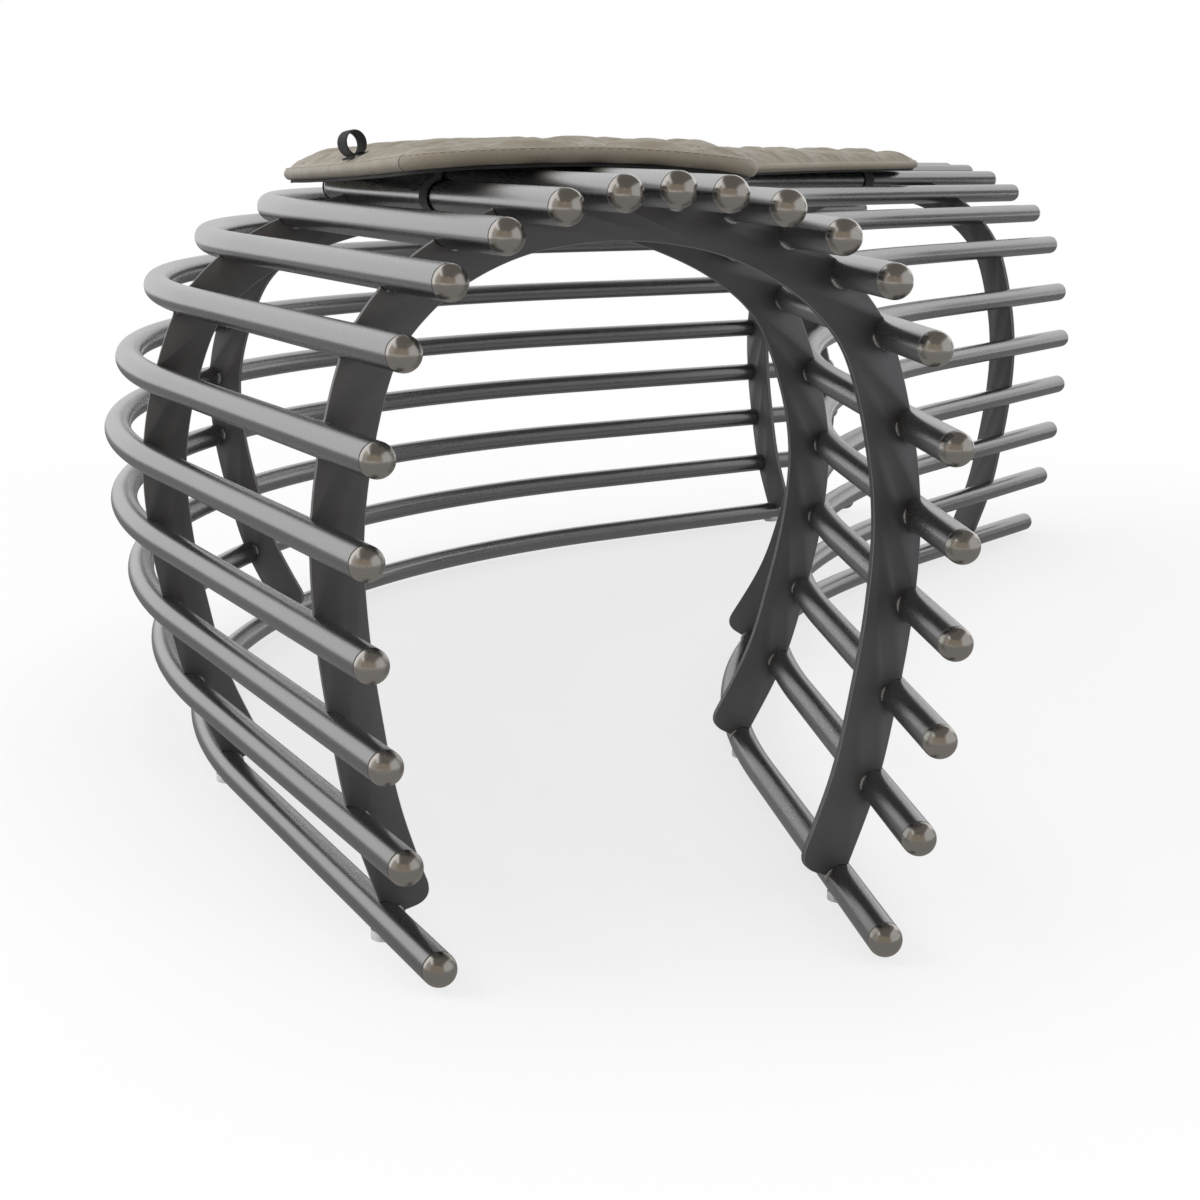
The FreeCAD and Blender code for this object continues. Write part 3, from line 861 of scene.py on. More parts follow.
class Rib:
    """Arched plate in an upright plane square to the crown tube."""

    def __init__(self, station):
        self.origin = CROWN.point(station)
        self.across = CROWN.outward(station)
        self.normal = CROWN.along(station)
        self.side = 1 if station > 0 else -1
        self.stations = [path.crossing(self.origin, self.across) for path in PATHS]
        self.seats = [path.point(s, z) for path, s, z in zip(PATHS, self.stations, HEIGHTS)]
        self.flat = [Vector(((p - self.origin).dot(self.across), p.z)) for p in self.seats]
        self.outs = [self.outward_at(i) for i in range(TUBE_COUNT)]

    def outward_at(self, index):
        run = self.flat[min(index + 1, TUBE_COUNT - 1)] - self.flat[max(index - 1, 0)]
        return Vector((run.y, -run.x)).normalized()

    def place(self, point, depth):
        return self.origin + self.across * point.x + UP * point.y + self.normal * depth

    def stretch(self, index):
        """How much wider than the tube its notch is cut, as the tube crosses aslant."""
        return 1 / abs(PATHS[index].along(self.stations[index]).dot(self.normal))

    def notch(self, index):
        """Arc of a notch through the inside of the plate, in the direction of the walk."""
        radius = TUBE_RADIUS + NOTCH_CLEARANCE
        out = self.outs[index]
        run = Vector((-out.y, out.x))
        start = 0 if index == 0 else -0.5
        end = 0 if index == TUBE_COUNT - 1 else 0.5
        arc = []
        for step in range(NOTCH_STEPS + 1):
            angle = math.pi * (start + (end - start) * step / NOTCH_STEPS)
            offset = run * math.sin(angle) - out * math.cos(angle)
            offset.x *= self.stretch(index)
            arc.append(self.flat[index] + offset * radius)
        return arc

    def outline(self):
        """Closed outline in the plate: notched outer edge, inner edge and rounded toes."""
        edge = smooth_run(self.flat, OUTER_EDGE_STEPS)
        walk = []
        for index in range(TUBE_COUNT):
            walk += self.notch(index)
            if index < TUBE_COUNT - 1:
                start = OUTER_EDGE_STEPS * index
                span = edge[start:start + OUTER_EDGE_STEPS + 1]
                walk += [p for p in span if self.clear(p, index) and self.clear(p, index + 1)]
        inner = [p - out * RIB_BAND for p, out in zip(self.flat, self.outs)]
        inner_edge = smooth_run(inner, INNER_EDGE_STEPS)
        walk += self.toe(walk[-1], inner_edge[-1], inner_edge[-INNER_EDGE_STEPS])
        walk += [p for p in reversed(inner_edge) if self.off_toes(p, inner)]
        walk += reversed(self.toe(walk[0], inner_edge[0], inner_edge[INNER_EDGE_STEPS]))
        return walk

    def clear(self, point, index):
        """Whether a point of the outer edge lies well outside a notch."""
        offset = point - self.flat[index]
        offset.x /= self.stretch(index)
        return offset.length > (TUBE_RADIUS + NOTCH_CLEARANCE) * NOTCH_KEEP_OFF

    def off_toes(self, point, inner):
        return all((point - toe).length > RIB_TOE_RADIUS for toe in (inner[0], inner[-1]))

    def toe(self, bottom, corner, above):
        """Arc that rounds the corner between the plate's bottom and its inner edge."""
        first = corner + (bottom - corner).normalized() * RIB_TOE_RADIUS
        last = corner + (above - corner).normalized() * RIB_TOE_RADIUS
        arc = []
        for step in range(RIB_TOE_STEPS + 1):
            t = step / RIB_TOE_STEPS
            arc.append(first * (1 - t) * (1 - t) + corner * 2 * t * (1 - t) + last * t * t)
        return arc

    def mesh(self, name):
        outline = self.outline()
        shape = Shape()
        shape.loft([[self.place(p, side * RIB_THICKNESS / 2) for p in outline] for side in (-1, 1)])
        mesh = shape.mesh(name)
        self.ease(mesh)
        places = [((v.co - self.origin).dot(self.across), v.co.z) for v in mesh.vertices]
        run_layer(mesh, places)
        return mesh

    def ease(self, mesh):
        """Rounds the cut edges and marks them for the painted edge highlight and rubbed metal."""
        work = bmesh.new()
        work.from_mesh(mesh)
        rim = [e for e in work.edges if max(len(f.verts) for f in e.link_faces) > 4]
        made = bmesh.ops.bevel(
            work, geom=rim, offset=settings().metal.plate_edge, segments=PLATE_EDGE_SEGMENTS,
            profile=0.5, affect="EDGES", clamp_overlap=True)
        worn_and_highlit = set(made["faces"])
        marks = [1.0 if face in worn_and_highlit else 0.0 for face in work.faces]
        work.to_mesh(mesh)
        work.free()
        # Marks the faces that take the painted edge highlight and rubbed metal
        layer = mesh.attributes.new("worn_and_highlit", "FLOAT", "FACE")
        layer.data.foreach_set("value", marks)

    def weld(self, shape, index):
        """Bead that hugs the tube at the bottom of its notch, with ripples along it."""
        bead = settings().metal.weld_bead
        run = PATHS[index].along(self.stations[index])
        out = self.across * self.outs[index].x + UP * self.outs[index].y
        turned = run.cross(out).normalized()
        hug = TUBE_RADIUS + bead * WELD_HUG_SHARE
        standoff = RIB_THICKNESS / 2 + bead * WELD_STANDOFF_SHARE
        centre = self.seats[index] + self.normal * (self.side * standoff)
        reach = settings().metal.weld_reach / hug
        rows = []
        for step in range(WELD_STEPS + 1):
            t = 2 * step / WELD_STEPS - 1
            angle = t * reach
            ripple = 1 + WELD_RIPPLE * math.cos(t * WELD_RIPPLE_RATE + index)
            thick = bead * math.sqrt(max(WELD_TIP_SHARE, 1 - t * t)) * ripple
            away = out * -math.cos(angle) + turned * math.sin(angle)
            rows.append(circle(centre + away * hug, away, self.normal, thick, WELD_SIDES))
        shape.loft(rows)

    def glide(self, shape, index):
        """Button foot with a saddle that fits under the lowest tube."""
        seat, axis = self.seats[index], HEIGHTS[index]
        across = PATHS[index].outward(self.stations[index])
        foot = Vector((seat.x, seat.y, 0))

        def saddle(offset):
            gap = min(abs(offset.dot(across)), TUBE_RADIUS)
            under = axis - math.sqrt(TUBE_RADIUS ** 2 - gap ** 2)
            return min(GLIDE_WRAP, under - GLIDE_SADDLE_GAP)

        rows = []
        for radius, height in ((GLIDE_MIDDLE, 0), (GLIDE_RADIUS - GLIDE_EDGE, 0),
                               (GLIDE_RADIUS - GLIDE_EDGE / 4, GLIDE_EDGE / 3),
                               (GLIDE_RADIUS, GLIDE_EDGE)):
            rows.append(circle(foot + UP * height, *FLAT_AXES, radius, GLIDE_SIDES))
        for step in range(GLIDE_STEPS + 1):
            radius = GLIDE_RADIUS * (1 - step / GLIDE_STEPS) + GLIDE_MIDDLE
            offsets = circle(Vector(), *FLAT_AXES, radius, GLIDE_SIDES)
            rows.append([foot + offset + UP * saddle(offset) for offset in offsets])
        shape.loft(rows)


RIBS = [Rib(station) for station in RIB_STATIONS]


def pad_half_width(station):
    """Half width of the pad: it widens to the middle by a share of what the tubes beside it do."""
    origin, across = CROWN.point(station), CROWN.outward(station)
    reach = (PAD_SIDE.point(PAD_SIDE.crossing(origin, across)) - origin).dot(across)
    end_reach = END_HALF_WIDTH * WIDTH_SHARES[PAD_SIDE_INDEX]
    return PAD_END_HALF_WIDTH * (1 + PAD_WIDENING_SHARE * (reach / end_reach - 1))


def droop(offset):
    """Fall of the pad's underside at a distance from the crown tube."""
    return PAD_EDGE_DROP * (offset / PAD_END_HALF_WIDTH) ** 2


def pad_place(station, offset, height):
    return CROWN.point(station, height) + CROWN.outward(station) * offset


class PadForm:
    """Quilted top, border band and underside of the pad, on one grid of rows and columns."""

    def __init__(self):
        self.sizes = settings().pad
        self.rows = self.sizes.rows
        self.columns = self.sizes.columns
        self.length = PAD_HALF - self.sizes.band
        self.width_at = {}

    def width(self, station):
        key = round(station, 5)
        if key not in self.width_at:
            self.width_at[key] = pad_half_width(station) - self.sizes.band
        return self.width_at[key]

    def plan(self, row, column):
        """(station, offset) of a grid point, with the corners rounded."""
        corner = self.sizes.corner
        run = self.length * (2 * row / self.rows - 1)
        width = self.width(PAD_MIDDLE_STATION + run)
        offset = width * (2 * column / self.columns - 1)
        along = (abs(run) - (self.length - corner)) / corner
        side = (abs(offset) - (width - corner)) / corner
        if along <= 0 or side <= 0:
            return PAD_MIDDLE_STATION + run, offset
        round_along = along * math.sqrt(1 - side * side / 2)
        round_side = side * math.sqrt(1 - along * along / 2)
        run = math.copysign(self.length - corner + round_along * corner, run)
        offset = math.copysign(width - corner + round_side * corner, offset)
        return PAD_MIDDLE_STATION + run, offset

    def inset(self, station, offset):
        """Distance to the seam that bounds the quilted top."""
        corner = self.sizes.corner
        to_end = self.length - abs(station - PAD_MIDDLE_STATION)
        to_side = self.width(station) - abs(offset)
        if to_end < corner and to_side < corner:
            return corner - math.hypot(corner - to_end, corner - to_side)
        return min(to_end, to_side)

    def fall(self, station, offset):
        """Droop of a point. The free outer edge hangs along the bend and is flatter at the ends."""
        if offset <= 0:
            return droop(offset)
        run = min(1, abs(station - PAD_MIDDLE_STATION) / self.length)
        end = max(0, run - PAD_END_START) / (1 - PAD_END_START)
        edge = max(0, 1 - (self.width(station) - offset) / PAD_FREE_EDGE)
        hang = PAD_EDGE_HANG * min(1, edge) ** 2 * (1 - run ** 2)
        return droop(offset) * (1 - PAD_END_LIFT_SHARE * end ** 2) + hang

    def seat(self, station, offset):
        return PAD_FLOOR - self.fall(station, offset)

    def line_distance(self, station, offset):
        """Distance to the nearest line of the quilting."""
        pitch = self.sizes.diamond
        nearest = pitch
        for sign in (1, -1):
            phase = (station + sign * offset) / pitch
            nearest = min(nearest, abs(phase - round(phase)) * pitch / math.sqrt(2))
        return nearest

    def puff(self, station, offset, inset):
        """Rise of the leather between the lines of the quilting, which fades out at the seam."""
        middle = self.sizes.diamond / (2 * math.sqrt(2))
        share = min(1, self.line_distance(station, offset) / middle)
        fade = 1 - math.exp(-inset / PUFF_FADE)
        return self.sizes.puff * (1 - (1 - share) ** PUFF_POWER) * fade

    def top(self, station, offset):
        """Height of the top: it rises from the seam and keeps level on the inner side."""
        sizes = self.sizes
        inset = max(0, self.inset(station, offset))
        ramp = min(1, inset / sizes.shoulder)
        rise = 1 - (1 - ramp) ** 2
        fall = self.fall(station, offset)
        level = fall if offset > 0 else 0
        body = (sizes.edge - fall) * (1 - rise) + (sizes.crown - level) * rise
        far = 0.5 + (station - PAD_MIDDLE_STATION) / (2 * self.length)
        return PAD_FLOOR + body + self.puff(station, offset, inset) - sizes.thinning * far

    def is_on_line(self, plan):
        return self.line_distance(*plan) < QUILT_LINE_REACH

    def build(self):
        """Makes the top and the band, and notes the vertices that stitches hold in place."""
        self.shape = Shape()
        self.stitched = set()
        grid = []
        for row in range(self.rows + 1):
            plans = [self.plan(row, column) for column in range(self.columns + 1)]
            ring = self.shape.ring([pad_place(s, o, self.top(s, o)) for s, o in plans])
            grid.append(ring)
            self.stitched |= {v for v, plan in zip(ring, plans) if self.is_on_line(plan)}
        for first, second in zip(grid, grid[1:]):
            self.shape.faces += ring_faces(first, second, closed=False)
        self.rim_walk = grid_rim(self.rows, self.columns)
        self.rim_plans = [self.plan(row, column) for row, column in self.rim_walk]
        self.rim = [grid[row][column] for row, column in self.rim_walk]
        self.rim_outs = self.outward_of_rim()
        self.stitched |= set(self.rim)
        self.add_band()

    def outward_of_rim(self):
        points = [self.shape.verts[v] for v in self.rim]
        total = len(points)
        outs = []
        for i in range(total):
            run = points[(i + RIM_SPAN) % total] - points[i - RIM_SPAN]
            outs.append(Vector((-run.y, run.x, 0)).normalized())
        middle = sum(points, Vector()) / total
        sign = 1 if (points[0] - middle).dot(outs[0]) > 0 else -1
        return [out * sign for out in outs]

    def band_point(self, index, drop):
        """Point of the border band: drop runs from 0 at the seam to 1 at the underside."""
        angle = math.pi * (0.5 - drop)
        rim = self.shape.verts[self.rim[index]]
        seat = self.seat(*self.rim_plans[index])
        spot = rim + self.rim_outs[index] * (self.sizes.band * math.cos(angle))
        return Vector((spot.x, spot.y, seat + (rim.z - seat) * (0.5 + 0.5 * math.sin(angle))))

    def add_band(self):
        rings = [self.rim]
        for step in range(1, BAND_STEPS + 1):
            points = [self.band_point(i, step / BAND_STEPS) for i in range(len(self.rim))]
            rings.append(self.shape.ring(points))
        hem = []
        for vert, plan, out in zip(self.rim, self.rim_plans, self.rim_outs):
            spot = self.shape.verts[vert] - out * HEM_WIDTH
            hem.append(Vector((spot.x, spot.y, self.seat(*plan) + HEM_LIFT)))
        self.hem = self.shape.ring(hem)
        rings.append(self.hem)
        for first, second in zip(rings, rings[1:]):
            self.shape.faces += ring_faces(first, second)
            self.stitched |= set(second)

    def close_below(self):
        """Underside inside the hem, on a coarser grid."""
        numbers = dict(zip(self.rim_walk, self.hem))
        for row in range(1, self.rows):
            for column in range(UNDERSIDE_STEP, self.columns, UNDERSIDE_STEP):
                station, offset = self.plan(row, column)
                height = self.seat(station, offset) + HEM_LIFT
                spot = pad_place(station, offset * UNDERSIDE_SHARE, height)
                numbers[row, column] = self.shape.ring([spot])[0]
        for row in range(self.rows):
            for column in range(0, self.columns, UNDERSIDE_STEP):
                low = self.underside_edge(row, column)
                high = self.underside_edge(row + 1, column)
                self.shape.faces.append(tuple(numbers[spot] for spot in low + high[::-1]))

    def underside_edge(self, row, column):
        """Grid places along one edge of an underside face: all of them at the pad's two ends."""
        step = 1 if row in (0, self.rows) else UNDERSIDE_STEP
        return [(row, c) for c in range(column, column + UNDERSIDE_STEP + 1, step)]


def fill_with_air(mesh, form):
    """Lets pressure lift the leather between its stitches, and caps how far it moves."""
    sizes = settings().pad
    scene = bpy.context.scene
    obj = bpy.data.objects.new("filling", mesh)
    scene.collection.objects.link(obj)
    pins = obj.vertex_groups.new(name="stitched")
    pins.add(sorted(form.stitched), 1.0, "REPLACE")
    cloth = obj.modifiers.new("Filling", "CLOTH")
    for name, value in FILLING_CLOTH.items():
        setattr(cloth.settings, name, value)
    cloth.settings.uniform_pressure_force = sizes.pressure
    cloth.settings.effector_weights.gravity = 0
    cloth.settings.vertex_group_mass = "stitched"
    cloth.collision_settings.use_collision = False
    for number in range(1, FILLING_FRAMES + 1):
        scene.frame_set(number)
    moved = obj.evaluated_get(bpy.context.evaluated_depsgraph_get()).data
    places = []
    for before, after in zip(mesh.vertices, moved.vertices):
        shift = after.co - before.co
        places.append(before.co + shift * min(1, sizes.swell / max(shift.length, TINY)))
    scene.frame_set(1)
    bpy.data.objects.remove(obj)
    for vert, spot in zip(mesh.vertices, places):
        vert.co = spot


def refined(mesh, name):
    """The mesh after one subdivision, as a new mesh."""
    obj = bpy.data.objects.new(name, mesh)
    bpy.context.scene.collection.objects.link(obj)
    obj.modifiers.new("Round", "SUBSURF").levels = 1
    evaluated = obj.evaluated_get(bpy.context.evaluated_depsgraph_get())
    made = bpy.data.meshes.new_from_object(evaluated)
    bpy.data.objects.remove(obj)
    made.name = name
    return made


class Stitching:
    """Lays threads on the finished leather."""

    def __init__(self, leather):
        polygons = [tuple(p.vertices) for p in leather.polygons]
        self.tree = BVHTree.FromPolygons([v.co.copy() for v in leather.vertices], polygons)
        self.shape = Shape()

    def on_top(self, spot):
        """Point and normal of the leather right under a spot."""
        above = Vector((spot.x, spot.y, CAD_BOX[1].z + STITCH_PROBE_HEIGHT))
        hit, normal, _, _ = self.tree.ray_cast(above, -UP)
        return hit, normal

    def nearest(self, spot):
        """Nearest point of the leather, with its normal."""
        hit, normal, _, _ = self.tree.find_nearest(spot)
        return hit, normal

    def add(self, start, end, normal, lift):
        """One stitch between two points of the leather, lower and thinner at both ends."""
        thread = settings().pad.thread
        run = end - start
        side = run.cross(normal).normalized()
        above = side.cross(run).normalized()
        rows = []
        for share in THREAD_SHARES:
            bulge = math.sin(math.pi * share)
            centre = start + run * share + above * (thread * (bulge * THREAD_BULGE + lift))
            width = thread * (THREAD_TIP + (1 - THREAD_TIP) * bulge)
            rows.append(circle(centre, side, above, width, THREAD_SIDES))
        self.shape.loft(rows)


def quilt_stitches(form, leather):
    """Tone-on-tone stitches along the lines of the quilting."""
    sewing = Stitching(leather)
    pitch = form.sizes.diamond
    half_width = pad_half_width(0)
    slant = form.sizes.stitch / math.sqrt(2)
    step = (form.sizes.stitch + QUILT_STITCH_GAP) / math.sqrt(2)
    lines = int((PAD_HALF + half_width) / pitch) + 1

    def is_inside(station, offset):
        on_pad = abs(station - PAD_MIDDLE_STATION) < form.length
        return on_pad and form.inset(station, offset) > QUILT_STITCH_INSET

    for number in range(-lines, lines + 1):
        for sign in (1, -1):
            place = -half_width
            while place < half_width:
                offsets = (place, place + slant)
                spots = [(number * pitch - sign * offset, offset) for offset in offsets]
                place += step
                if not all(is_inside(*spot) for spot in spots):
                    continue
                (start, normal), (end, _) = [sewing.on_top(pad_place(*spot, 0)) for spot in spots]
                if start is not None and end is not None:
                    sewing.add(start, end, normal, QUILT_STITCH_LIFT)
    return sewing.shape.mesh("pad_quilt_stitches")


def border_stitches(form, leather):
    """Pale stitches on the band, just outside the seam."""
    sewing = Stitching(leather)
    total = len(form.rim)
    points = [form.band_point(index, BORDER_STITCH_DROP) for index in range(total)]
    lengths = [0.0]
    for index in range(total):
        lengths.append(lengths[-1] + (points[(index + 1) % total] - points[index]).length)
    stitch = form.sizes.stitch
    stitches = round(lengths[-1] / (stitch + BORDER_STITCH_GAP))
    index = 0
    for number in range(stitches):
        ends = []
        begin = number * lengths[-1] / stitches
        for place in (begin, begin + stitch):
            while index < total - 1 and lengths[index + 1] < place:
                index += 1
            share = (place - lengths[index]) / max(lengths[index + 1] - lengths[index], TINY)
            ends.append(points[index].lerp(points[(index + 1) % total], min(1, share)))
        (start, normal), (end, _) = [sewing.nearest(spot) for spot in ends]
        sewing.add(start, end, normal, BORDER_STITCH_LIFT)
    return sewing.shape.mesh("pad_border_stitches")


def band_seams(form, leather):
    """Dark joins across the border band at the four corners."""
    sewing = Stitching(leather)
    for row in (SEAM_ROWS_FROM_END, form.rows - SEAM_ROWS_FROM_END):
        for column in (0, form.columns):
            index = form.rim_walk.index((row, column))
            run = form.rim_outs[index].cross(UP).normalized()
            rows = []
            for step in range(SEAM_STEPS + 1):
                drop = SEAM_START + SEAM_REACH * step / SEAM_STEPS
                spot, normal = sewing.nearest(form.band_point(index, drop))
                rows.append(circle(spot, run, normal * SEAM_FLATNESS, SEAM_RADIUS, SEAM_SIDES))
            sewing.shape.loft(rows)
    return sewing.shape.mesh("pad_band_seams")


def backing_mesh(form):
    """Black sheet under the pad, with a slack edge."""
    shape = Shape()

    def spot(row, column, lift):
        plan = form.plan(row * form.rows / SHEET_ROWS, column * form.columns / SHEET_COLUMNS)
        wave = SHEET_WAVE * noise.noise(Vector((*plan, 0)) * SHEET_WAVE_RATE)
        return pad_place(*plan, form.seat(*plan) - PAD_BASE_THICKNESS + lift + wave)

    rims = []
    for lift in (0, PAD_BASE_THICKNESS - SHEET_CLEARANCE):
        grid = []
        for row in range(SHEET_ROWS + 1):
            points = [spot(row, column, lift) for column in range(SHEET_COLUMNS + 1)]
            grid.append(shape.ring(points))
        for first, second in zip(grid, grid[1:]):
            shape.faces += ring_faces(first, second, closed=False)
        rims.append([grid[row][column] for row, column in grid_rim(SHEET_ROWS, SHEET_COLUMNS)])
    shape.faces += ring_faces(*rims)
    return shape.mesh("pad_underside_sheet")


def webbing(shape, walk, origin, across, above, width, thickness):
    """Flat ribbed band swept along a flat walk of (point, face direction) pairs.

    The walk lies in the plane of across and above, and the band's width is square to it.
    """
    run = above.cross(across)
    samples = WEB_RIB_SAMPLES * WEB_RIBS
    rows = []
    for point, face in walk:
        spot = origin + across * point.x + above * point.y
        facing = across * face.x + above * face.y
        front, back = [], []
        for i in range(samples + 1):
            t = i / samples
            rib = 1 - WEB_RIB_DEPTH + WEB_RIB_DEPTH * abs(math.sin(math.pi * WEB_RIBS * t))
            edge = math.sqrt(max(WEB_EDGE_SHARE, 1 - (2 * t - 1) ** WEB_EDGE_POWER))
            middle = spot + run * (width * (t - 0.5))
            depth = facing * (thickness / 2 * rib * edge)
            front.append(middle + depth)
            back.append(middle - depth)
        rows.append(front + back[::-1])
    shape.loft(rows)


def round_walk(start, end, steps):
    """Directions from one angle to another, as flat vectors."""
    angles = [start + (end - start) * step / steps for step in range(steps + 1)]
    return [Vector((math.cos(angle), math.sin(angle))) for angle in angles]


class Strap:
    """Elastic band sewn under the pad and closed round a tube."""

    def __init__(self, number, station_share):
        path, height = PATHS[number - 1], HEIGHTS[number - 1]
        station = PAD_MIDDLE_STATION + station_share * PAD_HALF
        origin, across = CROWN.point(station), CROWN.outward(station)
        place = path.crossing(origin, across)
        self.seat = path.point(place, height)
        self.crownward = path.outward(place) * (-1 if number < CROWN_NUMBER else 1)
        offset = (self.seat - origin).dot(across)
        self.top = PAD_SEAT - droop(offset) - PAD_SEAT_GAP - height

    def band(self, shape):
        sizes = settings().straps
        hug = TUBE_RADIUS + STRAP_CLEARANCE + sizes.thickness / 2
        leg = sizes.thickness * STRAP_LEG_SHARE
        tight = math.asin(leg / hug) + STRAP_NECK
        middle = (self.top + hug * math.cos(tight)) / 2

        def legs(side):
            lean = Vector((side, STRAP_LEG_LEAN)).normalized()
            return [(Vector((side * leg, self.top)), Vector((side, 0))),
                    (Vector((side * leg * STRAP_LEG_SPREAD, middle)), lean)]

        ways = round_walk(math.pi / 2 - tight, tight - math.pi * 3 / 2, STRAP_STEPS)
        walk = legs(1) + [(way * hug, way) for way in ways] + legs(-1)[::-1]
        webbing(shape, walk, self.seat, self.crownward, UP, sizes.width, sizes.thickness)

    def stud(self, shape):
        sizes = settings().straps
        seat = TUBE_RADIUS + STRAP_CLEARANCE + sizes.thickness * STUD_SEAT_SHARE
        profile = [(sizes.stud * share, height) for share, height in STUD_PROFILE]
        shape.lathe(profile, self.seat + self.crownward * seat, self.crownward, STUD_SIDES)


def loop_mesh(leather):
    """Webbing pull loop with both ends folded flat and sewn to the pad's edge."""
    sizes = settings().straps
    station = PAD_MIDDLE_STATION + LOOP_STATION_SHARE * PAD_HALF
    offset = pad_half_width(station) * LOOP_SEAT_SHARE
    seat, normal = Stitching(leather).on_top(pad_place(station, offset, 0))
    run = Matrix.Rotation(sizes.loop_turn, 3, UP) @ CROWN.along(station)
    side = normal.cross(run).normalized()
    radius = sizes.loop - LOOP_THICKNESS / 2
    centre = radius + LOOP_THICKNESS * LOOP_LIFT_SHARE

    def flat_end(sign):
        spots = [Vector((sign * LOOP_FLAT * x, LOOP_THICKNESS * y)) for x, y in LOOP_FLAT_POINTS]
        return [(spot, Vector((0, 1))) for spot in spots]

    ways = round_walk(LOOP_NECK - math.pi / 2, math.pi * 3 / 2 - LOOP_NECK, LOOP_STEPS)
    bow = [(Vector((way.x * radius * LOOP_SQUEEZE, centre + way.y * radius)), -way) for way in ways]
    walk = flat_end(1) + bow + flat_end(-1)[::-1]
    shape = Shape()
    webbing(shape, walk, seat, side, normal, sizes.loop_width, LOOP_THICKNESS)
    return shape.mesh("pull_loop_webbing")


class BENCH_OT_tubes(bpy.types.Operator):
    """Adds the hollow bent tubes"""
    bl_idname = "bench.tubes"
    bl_label = "Tubes"
    bl_options = {"REGISTER", "UNDO"}

    def execute(self, context):
        finish = tube_finish()
        for number in range(1, TUBE_COUNT + 1):
            node = f"tube_{number:02d}"
            piece(f"{node}_wall", tube_mesh(number), finish, [node])
        return {"FINISHED"}


class BENCH_OT_end_caps(bpy.types.Operator):
    """Adds the polished domes in the tubes' ends"""
    bl_idname = "bench.end_caps"
    bl_label = "End caps"
    bl_options = {"REGISTER", "UNDO"}

    def execute(self, context):
        finish = nickel_finish("polished_nickel")
        for word, side in (("left", -1), ("right", 1)):
            node = f"end_caps_{word}"
            name = f"{node}_domes"
            piece(name, caps_mesh(name, side), finish, [node], smooth_angle=30)
        return {"FINISHED"}


class BENCH_OT_ribs(bpy.types.Operator):
    """Adds the notched arched plates"""
    bl_idname = "bench.ribs"
    bl_label = "Arched plates"
    bl_options = {"REGISTER", "UNDO"}

    def execute(self, context):
        finish = plate_finish()
        for number, rib in enumerate(RIBS, start=1):
            node = f"rib_{number}"
            name = f"{node}_plate"
            piece(name, rib.mesh(name), finish, [node], smooth_angle=35)
        return {"FINISHED"}


class BENCH_OT_weld_tacks(bpy.types.Operator):
    """Adds the weld tacks at the bottom of the notches"""
    bl_idname = "bench.weld_tacks"
    bl_label = "Weld tacks"
    bl_options = {"REGISTER", "UNDO"}

    def execute(self, context):
        finish = weld_finish()
        for number, rib in enumerate(RIBS, start=1):
            shape = Shape()
            for index in range(TUBE_COUNT):
                rib.weld(shape, index)
            node = f"weld_tacks_{number}"
            name = f"{node}_beads"
            piece(name, shape.mesh(name), finish, [node], smooth_angle=60)
        return {"FINISHED"}


class BENCH_OT_floor_glides(bpy.types.Operator):
    """Adds the button feet under the lowest tubes"""
    bl_idname = "bench.floor_glides"
    bl_label = "Floor glides"
    bl_options = {"REGISTER", "UNDO"}

    def execute(self, context):
        shape = Shape()
        for rib in RIBS:
            for index in (0, TUBE_COUNT - 1):
                rib.glide(shape, index)
        name = "floor_glide_buttons"
        piece(name, shape.mesh(name), glide_finish(), ["floor_glides"])
        return {"FINISHED"}


class BENCH_OT_seat_pad(bpy.types.Operator):
    """Adds the quilted leather pad with its stitching, backing sheet and pull loop"""
    bl_idname = "bench.seat_pad"
    bl_label = "Seat pad"
    bl_options = {"REGISTER", "UNDO"}

    def execute(self, context):
        form = PadForm()
        form.build()
        leather = self.cover(form)
        self.sewing(form, leather)
        colours = settings().colours
        backing = cloth_finish("black_backing", colours.backing, threads=420.0, depth=0.12 * MM)
        piece("pad_underside_sheet", backing_mesh(form), backing, ["pad_underside"])
        web = cloth_finish("black_webbing", colours.elastic, threads=380.0, depth=0.25 * MM)
        piece("pull_loop_webbing", loop_mesh(leather), web, ["pull_loop"])
        return {"FINISHED"}

    def cover(self, form):
        """Fills, closes and rounds the leather cover; gives its mesh."""
        draft = form.shape.mesh("pad_draft")
        fill_with_air(draft, form)
        form.shape.verts = [v.co.copy() for v in draft.vertices]
        form.close_below()
        name = "pad_leather_cover"
        leather = refined(form.shape.mesh("pad_closed"), name)
        nodes = ["pad_cover", "pad_foam_core"]
        cover = piece(name, leather, leather_finish(), nodes, smooth_angle=70)
        return leather

    def sewing(self, form, leather):
        """Adds the quilting's and the border's stitches and the joins of the band."""
        colours = settings().colours
        tone = thread_finish("taupe_thread", colours.leather)
        pale = thread_finish("pale_thread", colours.thread)
        dark = thread_finish("dark_seam", [channel * SEAM_DARKNESS for channel in colours.leather])
        piece("pad_quilt_stitches", quilt_stitches(form, leather), tone)
        piece("pad_border_stitches", border_stitches(form, leather), pale)
        piece("pad_band_seams", band_seams(form, leather), dark)


class BENCH_OT_straps(bpy.types.Operator):
    """Adds the elastic straps and their press studs"""
    bl_idname = "bench.straps"
    bl_label = "Straps"
    bl_options = {"REGISTER", "UNDO"}

    def execute(self, context):
        black = settings().colours.elastic
        elastic = cloth_finish("black_elastic", black, threads=340.0, depth=0.25 * MM)
        steel = nickel_finish("polished_stud")
        for side, number in STRAP_TUBES.items():
            bands, studs = Shape(), Shape()
            for share in STRAP_STATION_SHARES:
                strap = Strap(number, share)
                strap.band(bands)
                strap.stud(studs)
            node = f"{side}_straps"
            name = f"{node}_bands"
            piece(name, bands.mesh(name), elastic, [node])
            node = f"{side}_press_studs"
            name = f"{node}_buttons"
            piece(name, studs.mesh(name), steel, [node], smooth_angle=30)
        return {"FINISHED"}


